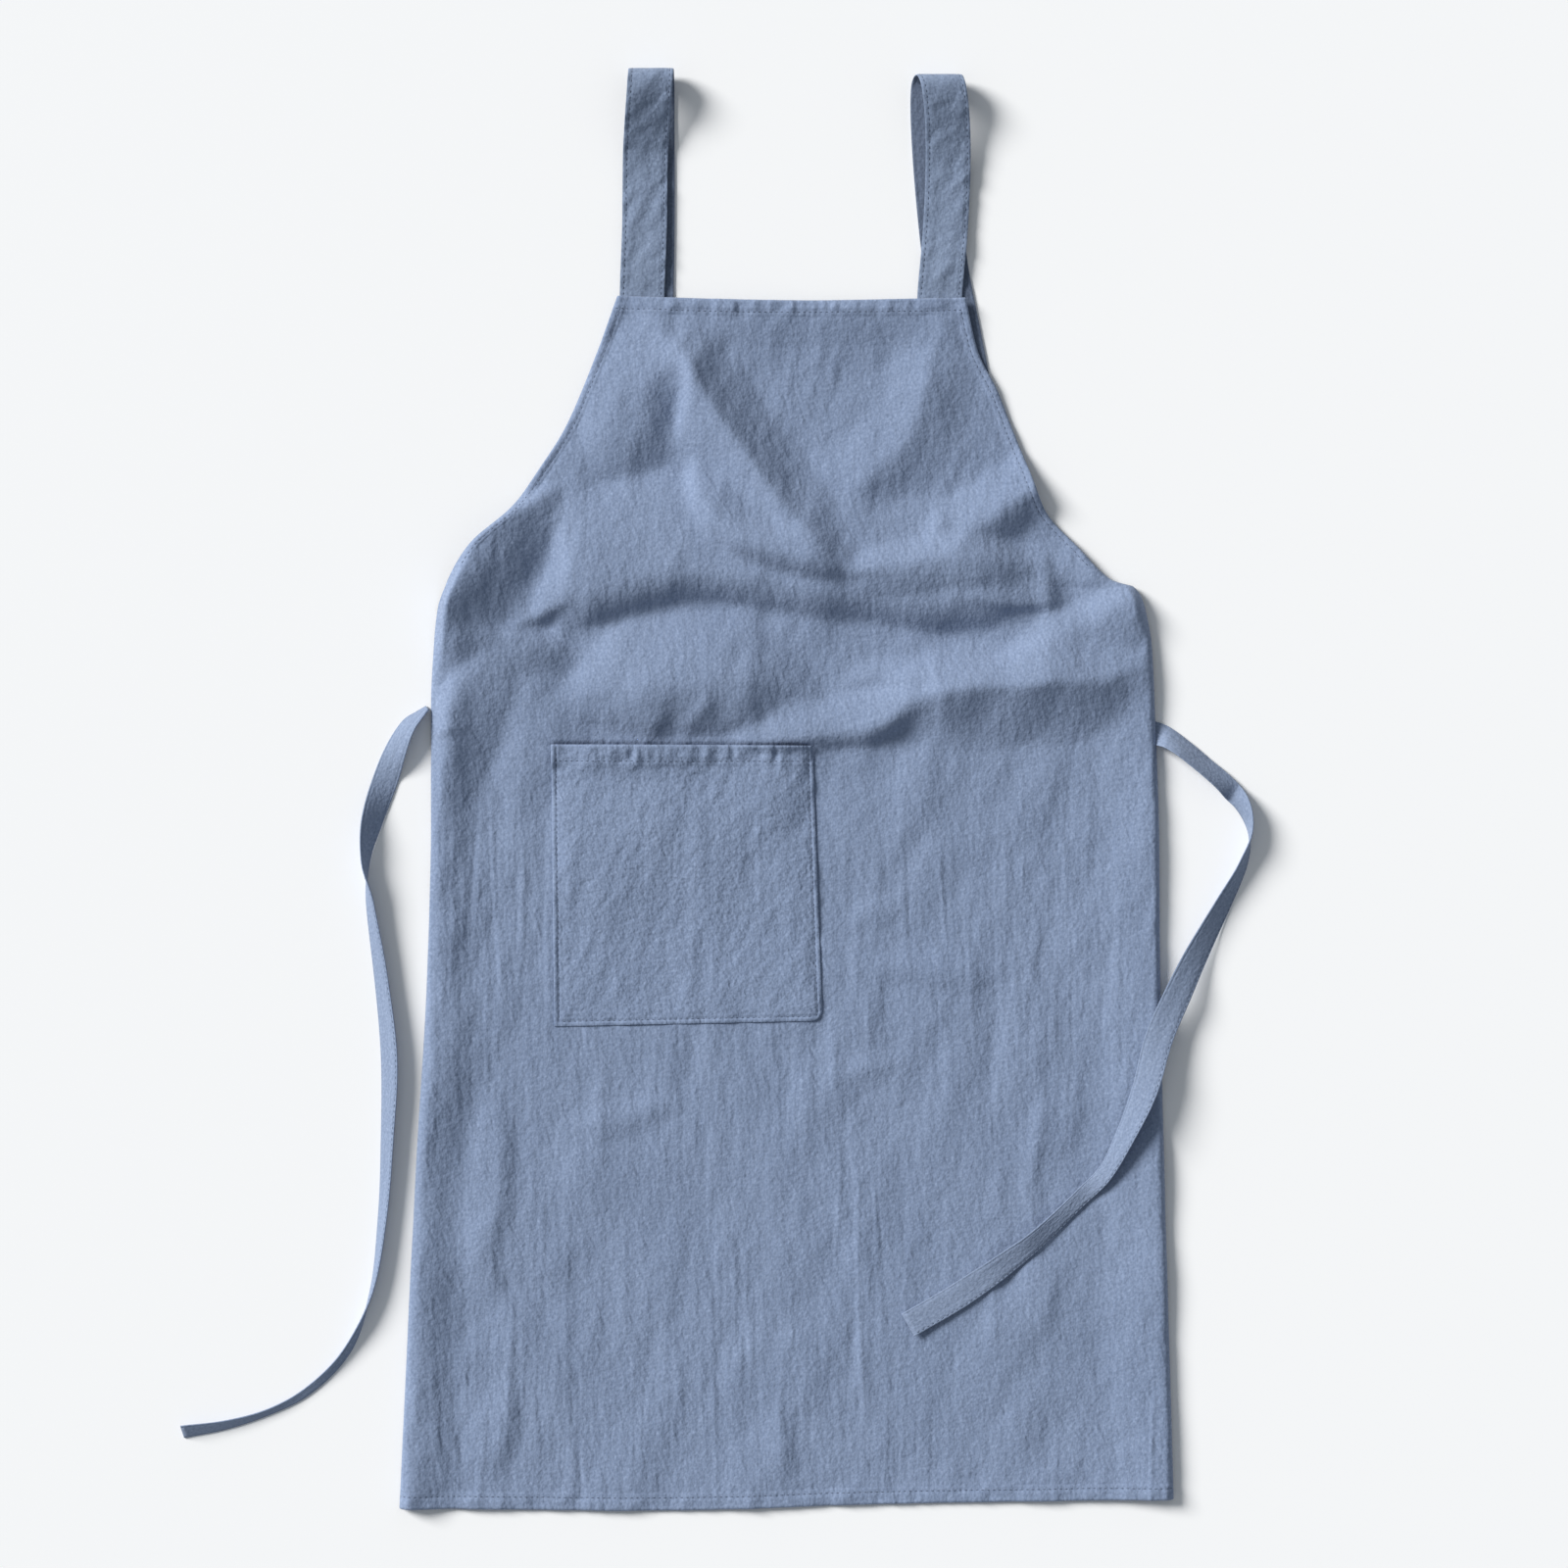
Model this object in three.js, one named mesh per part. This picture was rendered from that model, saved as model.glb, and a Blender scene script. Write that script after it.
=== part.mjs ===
// A washed cotton-linen pinafore apron, lying flat on its back.
// Millimetres. Seen from above, X runs to the right, Y towards the straps, and Z up off the floor.
// The origin is on the floor, under the middle of the apron without its ties.
import * as THREE from 'three';

// Cloth and bands
const SLOPE_STEP = 1; // distance over which the slope of the cloth is read
const CLOTH = 1.2; // wall of a single layer of cloth
const BAND = 1.6; // wall of the doubled straps and ties
const GAP = 0.35; // clear space between pieces that lie on or are sewn to each other
const STRAP_WIDTH = 32;

// Front panel: how high its cloth lies
const REST_LEVEL = 2.6; // middle of the cloth where it lies over the back panels
const BIB_LEVEL = 4.5; // middle of the cloth over the strap ends at the top of the bib
const BIB_RISE = { from: 313, to: 336 }; // stretch of Y where the bib climbs onto the strap ends
const SEAM_LEVEL = CLOTH + GAP; // where the side fold comes down onto the back panel
const ROLL_TOP = 8; // middle of the cloth at the top of the soft side folds
const ROLL_RADIUS = 8.4; // the round outer turn of a side fold
const ROLL_WIDTH = { left: 38, right: 52 }; // how far in a side fold takes to come down
const ROLL_END = { from: 128, to: 178 }; // stretch of Y where the side folds open into the armholes
const FOLD_CLEAR = { from: 0, to: 8 }; // stretch beside a side fold where the other folds die out

// Front panel outline, a row for each section
const FRONT_SECTIONS = [
  { y: -510, left: -276.5, right: 276.5 },
  { y: -416, left: -272, right: 274 },
  { y: -276, left: -265, right: 270 },
  { y: -136, left: -257, right: 267 },
  { y: -24, left: -254, right: 266 },
  { y: 60, left: -254, right: 263 },
  { y: 102, left: -252, right: 261 },
  { y: 130, left: -249, right: 256 },
  { y: 138, left: -246.4, right: 253 },
  { y: 145, left: -243.2, right: 247.5 },
  { y: 148.5, left: -241.7, right: 234 },
  { y: 172, left: -227, right: 209 },
  { y: 200, left: -197, right: 184 },
  { y: 228, left: -177, right: 173 },
  { y: 256, left: -159, right: 162 },
  { y: 284, left: -146, right: 151 },
  { y: 312, left: -135, right: 137 },
  { y: 350, left: -121, right: 128 },
];
const HEM_DIP = [
  { across: 0, dip: -2.4 },
  { across: 0.33, dip: -4 },
  { across: 0.62, dip: 0.6 },
  { across: 1, dip: 4.4 },
];
const BIB_DIP = [
  { across: 0, dip: 2 },
  { across: 0.5, dip: -1.5 },
  { across: 1, dip: 0.7 },
];
const EDGE_SHARE = 8; // power that keeps the two edge dips close to their edges

// Folds of the front panel. A path follows the crest with the lit side on its left hand; lit and shaded
// are the widths of the two sides, crest and foot are the powers that round them (1 is sharp, 2 is soft),
// and fade is the share of the length over which each end sinks and narrows.
const FOLDS = [
  { name: 'waist', height: 14, lit: 73, shaded: 25, crest: 2, foot: 1, fade: [0.14, 0.2],
    path: [[-145, 129], [-129, 143], [-103, 151], [-72, 156], [-30, 156], [19, 148], [68, 136],
      [110, 127], [145, 123], [180, 136]] },
  { name: 'waist_end', height: 12, lit: 11, shaded: 49, crest: 1, foot: 1.5, fade: [0.3, 0.4],
    path: [[-173, 97], [-160, 130], [-150, 162], [-150, 190], [-159, 214]] },
  { name: 'above_pocket', height: 15, lit: 49, shaded: 34, crest: 1.5, foot: 1, fade: [0.35, 0.35],
    path: [[-170, 56], [-114, 71], [-72, 76], [-30, 74], [19, 63]] },
  { name: 'pocket_tongue', height: 8, lit: 31, shaded: 10, crest: 1.5, foot: 1, fade: [0.3, 0.08],
    path: [[-45, 38], [-9, 36], [33, 38], [65, 42], [86, 50], [98, 66]] },
  { name: 'right_roll', height: 19, lit: 36, shaded: 43, crest: 1.3, foot: 1.5, fade: [0.2, 0.5],
    path: [[99, 64], [138, 71], [173, 74], [208, 78], [240, 85], [266, 94]] },
  { name: 'armhole_wedge', height: 11, lit: 31, shaded: 20, crest: 1.2, foot: 1, fade: [0.06, 0.02],
    path: [[119, 174], [131, 183], [152, 196], [173, 211], [208, 237]] },
  { name: 'bib_left', height: 20, lit: 56, shaded: 36, crest: 1, foot: 1.4, fade: [0.24, 0.3],
    path: [[44, 147], [15, 185], [-14, 220], [-52, 269], [-76, 311], [-100, 340]] },
  { name: 'strap_ridge', height: 10, lit: 42, shaded: 32, crest: 1.5, foot: 1, fade: [0.4, 0.4],
    path: [[-108, 224], [-105, 272], [-101, 321]] },
  { name: 'bib_right', height: 8.5, lit: 39, shaded: 38, crest: 1.3, foot: 1.5, fade: [0.15, 0.25],
    path: [[35, 209], [63, 225], [84, 242], [95, 267], [100, 295], [109, 347]] },
  { name: 'left_underarm', height: 22, lit: 11, shaded: 64, crest: 1.5, foot: 1, fade: [0.25, 0.3],
    path: [[-252, 133], [-243, 153], [-220, 176], [-198, 195], [-177, 210]] },
  { name: 'hip_line', height: 8, lit: 15, shaded: 28, crest: 1.5, foot: 1, fade: [0.2, 0.5],
    path: [[-252, 111], [-212, 111], [-170, 105], [-107, 92]] },
  { name: 'left_hip', height: 8, lit: 13, shaded: 41, crest: 1.5, foot: 1, fade: [0.4, 0.3],
    path: [[-248, -17], [-241, 43], [-230, 78], [-205, 116]] },
  { name: 'left_hip_side', height: 4, lit: 42, shaded: 35, crest: 2, foot: 2, fade: [0.4, 0.4],
    path: [[-191, -24], [-175, 46], [-161, 109]] },
];
const FOLD_TAPER = 0.35; // share of its width that a fold keeps at its ends
const FOLD_MERGE = 3; // power that lets folds run into each other without piling up
const PATH_STEPS = 16;

// Grid of the front panel: offsets in from each side edge, then even steps between them
const EDGE_OFFSETS = [0, 1, 4, 8.4, 20, 34];
const INNER_COLUMNS = 28;
const SKIRT_TOP = -20; // below this height the cloth is nearly flat, so its rows are far apart
const SKIRT_ROWS = 10;
const TORSO_ROWS = 42;

// Back panels, plain and flat on the floor
const BACK_PANELS = [
  { name: 'back_panel_left', side: 'left', innerX: -86, hemY: -506 },
  { name: 'back_panel_right', side: 'right', innerX: 112, hemY: -500 },
];
const BACK_INSET = 1; // how far the outer edge stays inside the front's outline
const BACK_UNDERARM_Y = 126;
const BACK_INNER_Y = 92;
const BACK_EDGE_POINTS = 8;

// Pocket
const POCKET_CORNERS = {
  bottomLeft: [-165.6, -168.7],
  bottomRight: [25.6, -164.5],
  topLeft: [-167.7, 32.2],
  topRight: [18.6, 31.5],
};
const POCKET_LIFT = 1; // clear space under its sewn edges
const POCKET_PUFF = 5; // how far the mouth stands open
const POCKET_PUFF_ALONG = { from: 0.3, to: 0.75 }; // share of the height where the puff builds up
const POCKET_SIDE_POWER = 6; // how square the puff is from side to side
const POCKET_COLUMNS = 14;
const POCKET_ROWS = 12;

// Shoulder straps, from the bib up, over the shoulder loop, and down behind to the back panel
const STRAPS = [
  {
    name: 'shoulder_strap_left',
    route: [
      { x: -103.3, y: 339, z: 2.7 },
      { x: -103, y: 355, z: 2.75 },
      { x: -101.3, y: 400, z: 3.1 },
      { x: -100.5, y: 452, z: 4.6 },
      { x: -98.5, y: 480, z: 13.4 },
      { x: -97, y: 498, z: 18.6 },
      { x: -96.5, y: 507.5, z: 17.2 },
      { x: -96.3, y: 513, z: 10 },
      { x: -96.2, y: 509, z: 2.6 },
      { x: -96, y: 498, z: 0.8 },
      { x: -96, y: 470, z: 0.8 },
      { x: -96, y: 400, z: 0.8 },
      { x: -98, y: 300, z: 0.8 },
      { x: -102, y: 200, z: 0.8 },
      { x: -105, y: 116, z: 0.8 },
      { x: -105, y: 101, z: 2.4 },
      { x: -105, y: 72, z: 2.4 },
    ],
  },
  {
    name: 'shoulder_strap_right',
    route: [
      { x: 109.2, y: 339, z: 2.7 },
      { x: 109.5, y: 355, z: 2.75 },
      { x: 113, y: 396, z: 3.4 },
      { x: 115, y: 440, z: 5.4 },
      { x: 114.5, y: 474, z: 12.6 },
      { x: 112.5, y: 493, z: 17.6 },
      { x: 110.5, y: 503.5, z: 16.2 },
      { x: 108, y: 508.8, z: 9.4 },
      { x: 105.5, y: 505, z: 2.6 },
      { x: 104.5, y: 493, z: 0.8 },
      { x: 105.5, y: 460, z: 0.8 },
      { x: 109.5, y: 410, z: 0.8 },
      { x: 114, y: 372, z: 0.8 },
      { x: 122.9, y: 326, z: 0.8 },
      { x: 133, y: 270, z: 0.8 },
      { x: 140, y: 190, z: 0.8 },
      { x: 143, y: 116, z: 0.8 },
      { x: 143, y: 101, z: 2.4 },
      { x: 143, y: 72, z: 2.4 },
    ],
  },
];
const STRAP_STEPS = 4; // stations between two rows of a route

// Waist ties, from the side folds to their free ends. Lift is the height of what lies below the band
// beside the apron, lean turns it about its length, in degrees, and width is less where it is creased.
const TIES = [
  {
    name: 'waist_tie_left',
    route: [
      { x: -256.2, y: 58.5, lift: 0, lean: 60, width: 7 },
      { x: -262.5, y: 52.7, lift: 0, lean: 52, width: 12 },
      { x: -269.2, y: 46.2, lift: 0, lean: 44, width: 16 },
      { x: -276.9, y: 32.2, lift: 0, lean: 30, width: 17.5 },
      { x: -287.4, y: 4.2, lift: 0, lean: -8, width: 18 },
      { x: -295.8, y: -23.8, lift: 0, lean: -40, width: 18 },
      { x: -300, y: -51.8, lift: 0, lean: -72, width: 14 },
      { x: -297, y: -79.8, lift: 0, lean: -119, width: 13 },
      { x: -288.8, y: -135.8, lift: 0, lean: -139, width: 14 },
      { x: -283.2, y: -191.8, lift: 0, lean: -142, width: 16 },
      { x: -284.6, y: -247.8, lift: 0, lean: -137, width: 13.5 },
      { x: -288, y: -303.8, lift: 0, lean: -130, width: 11 },
      { x: -296.5, y: -359.8, lift: 0, lean: -105, width: 9 },
      { x: -314.7, y: -401.8, lift: 0, lean: -45, width: 7.5 },
      { x: -342.7, y: -429.8, lift: 0, lean: -28, width: 6.5 },
      { x: -369.3, y: -443.8, lift: 0, lean: -40, width: 6 },
      { x: -400, y: -453, lift: 0, lean: -40, width: 9 },
      { x: -430.9, y: -457.8, lift: 0, lean: -40, width: 13 },
    ],
  },
  {
    name: 'waist_tie_right',
    route: [
      { x: 265.4, y: 39.8, lift: 0.5, lean: -40, width: 16.5 },
      { x: 269.5, y: 38.1, lift: 0.5, lean: -42, width: 18 },
      { x: 275, y: 35.1, lift: 0.5, lean: -44, width: 19 },
      { x: 283, y: 29.2, lift: 0.5, lean: -45, width: 19.5 },
      { x: 296.5, y: 18.2, lift: 0.5, lean: -44, width: 18.5 },
      { x: 312.6, y: 4.2, lift: 2, lean: -27, width: 15.5 },
      { x: 324.5, y: -9.8, lift: 2.4, lean: 34, width: 13 },
      { x: 330.5, y: -30, lift: 0, lean: 84, width: 13 },
      { x: 325.9, y: -51.8, lift: 0, lean: 122, width: 13 },
      { x: 311.5, y: -81, lift: 0, lean: 142, width: 15.5 },
      { x: 303.8, y: -95.5, lift: 0.5, lean: 148, width: 17 },
      { x: 289.8, y: -121.8, lift: 4.5, lean: 160, width: 19 },
      { x: 276.4, y: -149.8, lift: 10, lean: 172, width: 20 },
      { x: 264.5, y: -178, lift: 10, lean: 186, width: 20 },
      { x: 254.5, y: -213.5, lift: 0, lean: 202, width: 19 },
      { x: 240.8, y: -246, lift: 0, lean: 214, width: 15.5 },
      { x: 226.4, y: -273.5, lift: 0, lean: 204, width: 12 },
      { x: 206.9, y: -293.2, lift: 0, lean: 166, width: 12 },
      { x: 179.1, y: -319.3, lift: 0, lean: 148, width: 14.5 },
      { x: 154.4, y: -338.6, lift: 0, lean: 156, width: 17 },
      { x: 121.5, y: -361.2, lift: 0, lean: 170, width: 18.5 },
      { x: 86.5, y: -381.5, lift: 0, lean: 176, width: 18.5 },
    ],
  },
];
const TIE_STEPS = 3; // stations between two rows of a route
const TIE_LIFT = 0.9; // clear space under a tie that lies on the front
const TIE_PROBES = [-1, -0.5, 0, 0.5, 1]; // shares of a tie's half width where the cloth below it is read

const LINEN = { color: 0x7e8eaa, roughness: 0.9, metalness: 0 };
const LINEN_BACK = { color: 0x72829e, roughness: 0.92, metalness: 0 };

function smoothStep(from, to, at) {
  return THREE.MathUtils.smoothstep(at, from, to);
}

function mix(a, b, share) {
  return THREE.MathUtils.lerp(a, b, share);
}

// Reads one column of a table smoothly, with no overshoot between its rows.
function readColumn(rows, key, column, at) {
  const last = rows.length - 1;
  const clamped = THREE.MathUtils.clamp(at, rows[0][key], rows[last][key]);
  let i = 0;
  while (i < last - 1 && clamped > rows[i + 1][key]) {
    i += 1;
  }
  const secant = (k) => (rows[k + 1][column] - rows[k][column]) / (rows[k + 1][key] - rows[k][key]);
  const slope = (k) => {
    const before = secant(Math.max(k - 1, 0));
    const after = secant(Math.min(k, last - 1));
    return before * after <= 0 ? 0 : (2 * before * after) / (before + after);
  };
  const span = rows[i + 1][key] - rows[i][key];
  const t = (clamped - rows[i][key]) / span;
  const h = t * t * (3 - 2 * t);
  const bend = span * t * (1 - t) * (slope(i) * (1 - t) - slope(i + 1) * t);
  return mix(rows[i][column], rows[i + 1][column], h) + bend;
}

const leftEdge = (y) => readColumn(FRONT_SECTIONS, 'y', 'left', y);
const rightEdge = (y) => readColumn(FRONT_SECTIONS, 'y', 'right', y);

// Samples a fold's crest once, as points along a smooth path.
const foldCrests = FOLDS.map((fold) => {
  const points = fold.path.map(([x, y]) => new THREE.Vector2(x, y));
  return new THREE.SplineCurve(points).getPoints(PATH_STEPS);
});

// Height of one fold at a point: the highest of the ridges along its crest.
function foldHeight(fold, crest, x, y) {
  const pieces = crest.length - 1;
  let highest = 0;
  for (let k = 0; k < pieces; k += 1) {
    const runX = crest[k + 1].x - crest[k].x;
    const runY = crest[k + 1].y - crest[k].y;
    const fromX = x - crest[k].x;
    const fromY = y - crest[k].y;
    const square = runX * runX + runY * runY;
    const share = THREE.MathUtils.clamp((fromX * runX + fromY * runY) / square, 0, 1);
    const along = (k + share) / pieces;
    const ends = smoothStep(0, fold.fade[0], along) * smoothStep(0, fold.fade[1], 1 - along);
    const side = runX * fromY - runY * fromX > 0 ? fold.lit : fold.shaded;
    const distance = Math.hypot(fromX - share * runX, fromY - share * runY);
    const reach = Math.min(distance / (side * mix(FOLD_TAPER, 1, ends)), 1);
    highest = Math.max(highest, ends * (1 - reach ** fold.crest) ** fold.foot);
  }
  return fold.height * highest;
}

// Height of the cloth beside a side fold: a round turn up from the seam, then a slow fall.
function rollHeight(inside, width) {
  if (inside < ROLL_RADIUS) {
    const turn = 1 - Math.max(inside, 0) / ROLL_RADIUS;
    return SEAM_LEVEL + (ROLL_TOP - SEAM_LEVEL) * Math.sqrt(1 - turn * turn);
  }
  const fall = Math.min((inside - ROLL_RADIUS) / (width - ROLL_RADIUS), 1);
  return REST_LEVEL + (ROLL_TOP - REST_LEVEL) * 0.5 * (1 + Math.cos(Math.PI * fall));
}

// Middle of the front panel's cloth at a point.
function frontMiddle(x, y) {
  const insideLeft = x - leftEdge(y) - CLOTH / 2;
  const insideRight = rightEdge(y) - CLOTH / 2 - x;
  const nearLeft = insideLeft < insideRight;
  const inside = Math.min(insideLeft, insideRight);
  const closed = 1 - smoothStep(ROLL_END.from, ROLL_END.to, y);
  const open = mix(REST_LEVEL, BIB_LEVEL, smoothStep(BIB_RISE.from, BIB_RISE.to, y));
  const rolled = rollHeight(inside, nearLeft ? ROLL_WIDTH.left : ROLL_WIDTH.right);
  const share = mix(1, smoothStep(FOLD_CLEAR.from, FOLD_CLEAR.to, inside), closed);
  let folds = 0;
  FOLDS.forEach((fold, k) => {
    folds += foldHeight(fold, foldCrests[k], x, y) ** FOLD_MERGE;
  });
  return mix(open, rolled, closed) + share * folds ** (1 / FOLD_MERGE);
}

// Upper face of the front panel at a point, from the slope of the cloth there.
function frontTop(x, y) {
  const slopeX = (frontMiddle(x + SLOPE_STEP, y) - frontMiddle(x - SLOPE_STEP, y)) / (2 * SLOPE_STEP);
  const slopeY = (frontMiddle(x, y + SLOPE_STEP) - frontMiddle(x, y - SLOPE_STEP)) / (2 * SLOPE_STEP);
  return frontMiddle(x, y) + (CLOTH / 2) * Math.hypot(slopeX, slopeY, 1);
}

function solidFrom(points, triangles) {
  const geometry = new THREE.BufferGeometry();
  const places = points.flatMap((point) => point.toArray());
  geometry.setAttribute('position', new THREE.Float32BufferAttribute(places, 3));
  geometry.setIndex(triangles);
  geometry.computeVertexNormals();
  return geometry;
}

// A wall of even thickness around a grid of points, closed all round its edge.
function clothWall(grid, thickness) {
  const rows = grid.length;
  const columns = grid[0].length;
  const clampRow = (r) => THREE.MathUtils.clamp(r, 0, rows - 1);
  const clampColumn = (c) => THREE.MathUtils.clamp(c, 0, columns - 1);
  const upper = [];
  const lower = [];
  for (let r = 0; r < rows; r += 1) {
    for (let c = 0; c < columns; c += 1) {
      const along = grid[clampRow(r + 1)][c].clone().sub(grid[clampRow(r - 1)][c]);
      const across = grid[r][clampColumn(c + 1)].clone().sub(grid[r][clampColumn(c - 1)]);
      const out = across.cross(along).normalize().multiplyScalar(thickness / 2);
      upper.push(grid[r][c].clone().add(out));
      lower.push(grid[r][c].clone().sub(out));
    }
  }
  const top = (r, c) => r * columns + c;
  const bottom = (r, c) => rows * columns + top(r, c);
  const triangles = [];
  for (let r = 0; r < rows - 1; r += 1) {
    for (let c = 0; c < columns - 1; c += 1) {
      triangles.push(top(r, c), top(r, c + 1), top(r + 1, c + 1));
      triangles.push(top(r, c), top(r + 1, c + 1), top(r + 1, c));
      triangles.push(bottom(r, c), bottom(r + 1, c + 1), bottom(r, c + 1));
      triangles.push(bottom(r, c), bottom(r + 1, c), bottom(r + 1, c + 1));
    }
  }
  const rim = [];
  for (let c = 0; c < columns - 1; c += 1) {
    rim.push([0, c]);
  }
  for (let r = 0; r < rows - 1; r += 1) {
    rim.push([r, columns - 1]);
  }
  for (let c = columns - 1; c > 0; c -= 1) {
    rim.push([rows - 1, c]);
  }
  for (let r = rows - 1; r > 0; r -= 1) {
    rim.push([r, 0]);
  }
  rim.forEach(([r, c], k) => {
    const [nextR, nextC] = rim[(k + 1) % rim.length];
    triangles.push(bottom(r, c), bottom(nextR, nextC), top(nextR, nextC));
    triangles.push(bottom(r, c), top(nextR, nextC), top(r, c));
  });
  return solidFrom([...upper, ...lower], triangles);
}

// A flat band carried along stations, each with a centre, a direction across and a width.
function band(stations, thickness) {
  const last = stations.length - 1;
  const points = [];
  stations.forEach((station, k) => {
    const before = stations[Math.max(k - 1, 0)].centre;
    const after = stations[Math.min(k + 1, last)].centre;
    const across = station.across.clone();
    const up = after.clone().sub(before).cross(across).normalize().multiplyScalar(thickness / 2);
    across.multiplyScalar(station.width / 2);
    points.push(station.centre.clone().sub(across).sub(up));
    points.push(station.centre.clone().add(across).sub(up));
    points.push(station.centre.clone().add(across).add(up));
    points.push(station.centre.clone().sub(across).add(up));
  });
  const corner = (k, i) => 4 * k + (i % 4);
  const triangles = [corner(0, 0), corner(0, 3), corner(0, 2), corner(0, 0), corner(0, 2), corner(0, 1)];
  for (let k = 0; k < last; k += 1) {
    for (let i = 0; i < 4; i += 1) {
      triangles.push(corner(k, i), corner(k, i + 1), corner(k + 1, i + 1));
      triangles.push(corner(k, i), corner(k + 1, i + 1), corner(k + 1, i));
    }
  }
  triangles.push(corner(last, 0), corner(last, 1), corner(last, 2));
  triangles.push(corner(last, 0), corner(last, 2), corner(last, 3));
  return solidFrom(points, triangles);
}

function named(name, geometry, look) {
  const mesh = new THREE.Mesh(geometry, new THREE.MeshStandardMaterial(look));
  mesh.name = name;
  return mesh;
}

// Row heights: wide steps down the skirt, close ones where the folds are.
function frontRows() {
  const hem = FRONT_SECTIONS[0].y;
  const bib = FRONT_SECTIONS[FRONT_SECTIONS.length - 1].y;
  const rows = [];
  for (let k = 0; k < SKIRT_ROWS; k += 1) {
    rows.push(mix(hem, SKIRT_TOP, k / SKIRT_ROWS));
  }
  for (let k = 0; k <= TORSO_ROWS; k += 1) {
    rows.push(mix(SKIRT_TOP, bib, k / TORSO_ROWS));
  }
  return rows;
}

// Places across one row: the edge offsets on both sides, and even steps between them.
function frontColumns(y) {
  const left = leftEdge(y) + CLOTH / 2;
  const right = rightEdge(y) - CLOTH / 2;
  const deepest = EDGE_OFFSETS[EDGE_OFFSETS.length - 1];
  const places = EDGE_OFFSETS.map((offset) => left + offset);
  for (let k = 1; k < INNER_COLUMNS; k += 1) {
    places.push(mix(left + deepest, right - deepest, k / INNER_COLUMNS));
  }
  EDGE_OFFSETS.toReversed().forEach((offset) => places.push(right - offset));
  return places;
}

function makeFrontPanel() {
  const rows = frontRows();
  const hem = rows[0];
  const bib = rows[rows.length - 1];
  const grid = rows.map((y) => {
    const places = frontColumns(y);
    const upShare = (y - hem) / (bib - hem);
    const width = places[places.length - 1] - places[0];
    return places.map((x) => {
      const across = (x - places[0]) / width;
      const hemDip = readColumn(HEM_DIP, 'across', 'dip', across) * (1 - upShare) ** EDGE_SHARE;
      const bibDip = readColumn(BIB_DIP, 'across', 'dip', across) * upShare ** EDGE_SHARE;
      return new THREE.Vector3(x, y + hemDip + bibDip, frontMiddle(x, y));
    });
  });
  return named('front_panel', clothWall(grid, CLOTH), LINEN);
}

function makeBackPanel({ name, side, innerX, hemY }) {
  const edge = side === 'left' ? leftEdge : rightEdge;
  const inset = side === 'left' ? BACK_INSET : -BACK_INSET;
  const outline = new THREE.Shape();
  outline.moveTo(innerX, BACK_INNER_Y);
  outline.lineTo(innerX, hemY);
  for (let k = 0; k <= BACK_EDGE_POINTS; k += 1) {
    const y = mix(hemY, BACK_UNDERARM_Y, k / BACK_EDGE_POINTS);
    outline.lineTo(edge(y) + inset, y);
  }
  outline.closePath();
  const plate = new THREE.ExtrudeGeometry(outline, { depth: CLOTH, bevelEnabled: false });
  return named(name, plate, LINEN_BACK);
}

function makePocket() {
  const { bottomLeft, bottomRight, topLeft, topRight } = POCKET_CORNERS;
  const grid = [];
  for (let r = 0; r <= POCKET_ROWS; r += 1) {
    const up = r / POCKET_ROWS;
    const row = [];
    for (let c = 0; c <= POCKET_COLUMNS; c += 1) {
      const across = c / POCKET_COLUMNS;
      const x = mix(mix(bottomLeft[0], bottomRight[0], across), mix(topLeft[0], topRight[0], across), up);
      const y = mix(mix(bottomLeft[1], bottomRight[1], across), mix(topLeft[1], topRight[1], across), up);
      const square = 1 - Math.abs(2 * across - 1) ** POCKET_SIDE_POWER;
      const puff = POCKET_PUFF * square * smoothStep(POCKET_PUFF_ALONG.from, POCKET_PUFF_ALONG.to, up);
      row.push(new THREE.Vector3(x, y, frontTop(x, y) + POCKET_LIFT + puff + CLOTH / 2));
    }
    grid.push(row);
  }
  return named('pocket', clothWall(grid, CLOTH), LINEN);
}

function makeStrap({ name, route }) {
  const points = route.map(({ x, y, z }) => new THREE.Vector3(x, y, z));
  const curve = new THREE.CatmullRomCurve3(points, false, 'centripetal');
  const steps = (route.length - 1) * STRAP_STEPS;
  const stations = [];
  for (let k = 0; k <= steps; k += 1) {
    const centre = curve.getPoint(k / steps);
    centre.z = Math.max(centre.z, BAND / 2);
    stations.push({ centre, across: new THREE.Vector3(1, 0, 0), width: STRAP_WIDTH });
  }
  return named(name, band(stations, BAND), LINEN);
}

// Height of whatever carries a tie at a point: the apron's cloth under its width, or the floor.
function tieSupport(x, y, acrossX, acrossY, halfWidth) {
  let highest = 0;
  TIE_PROBES.forEach((share) => {
    const px = x + share * halfWidth * acrossX;
    const py = y + share * halfWidth * acrossY;
    if (px > leftEdge(py) && px < rightEdge(py)) {
      highest = Math.max(highest, frontTop(px, py) + TIE_LIFT);
    }
  });
  return highest;
}

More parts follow.
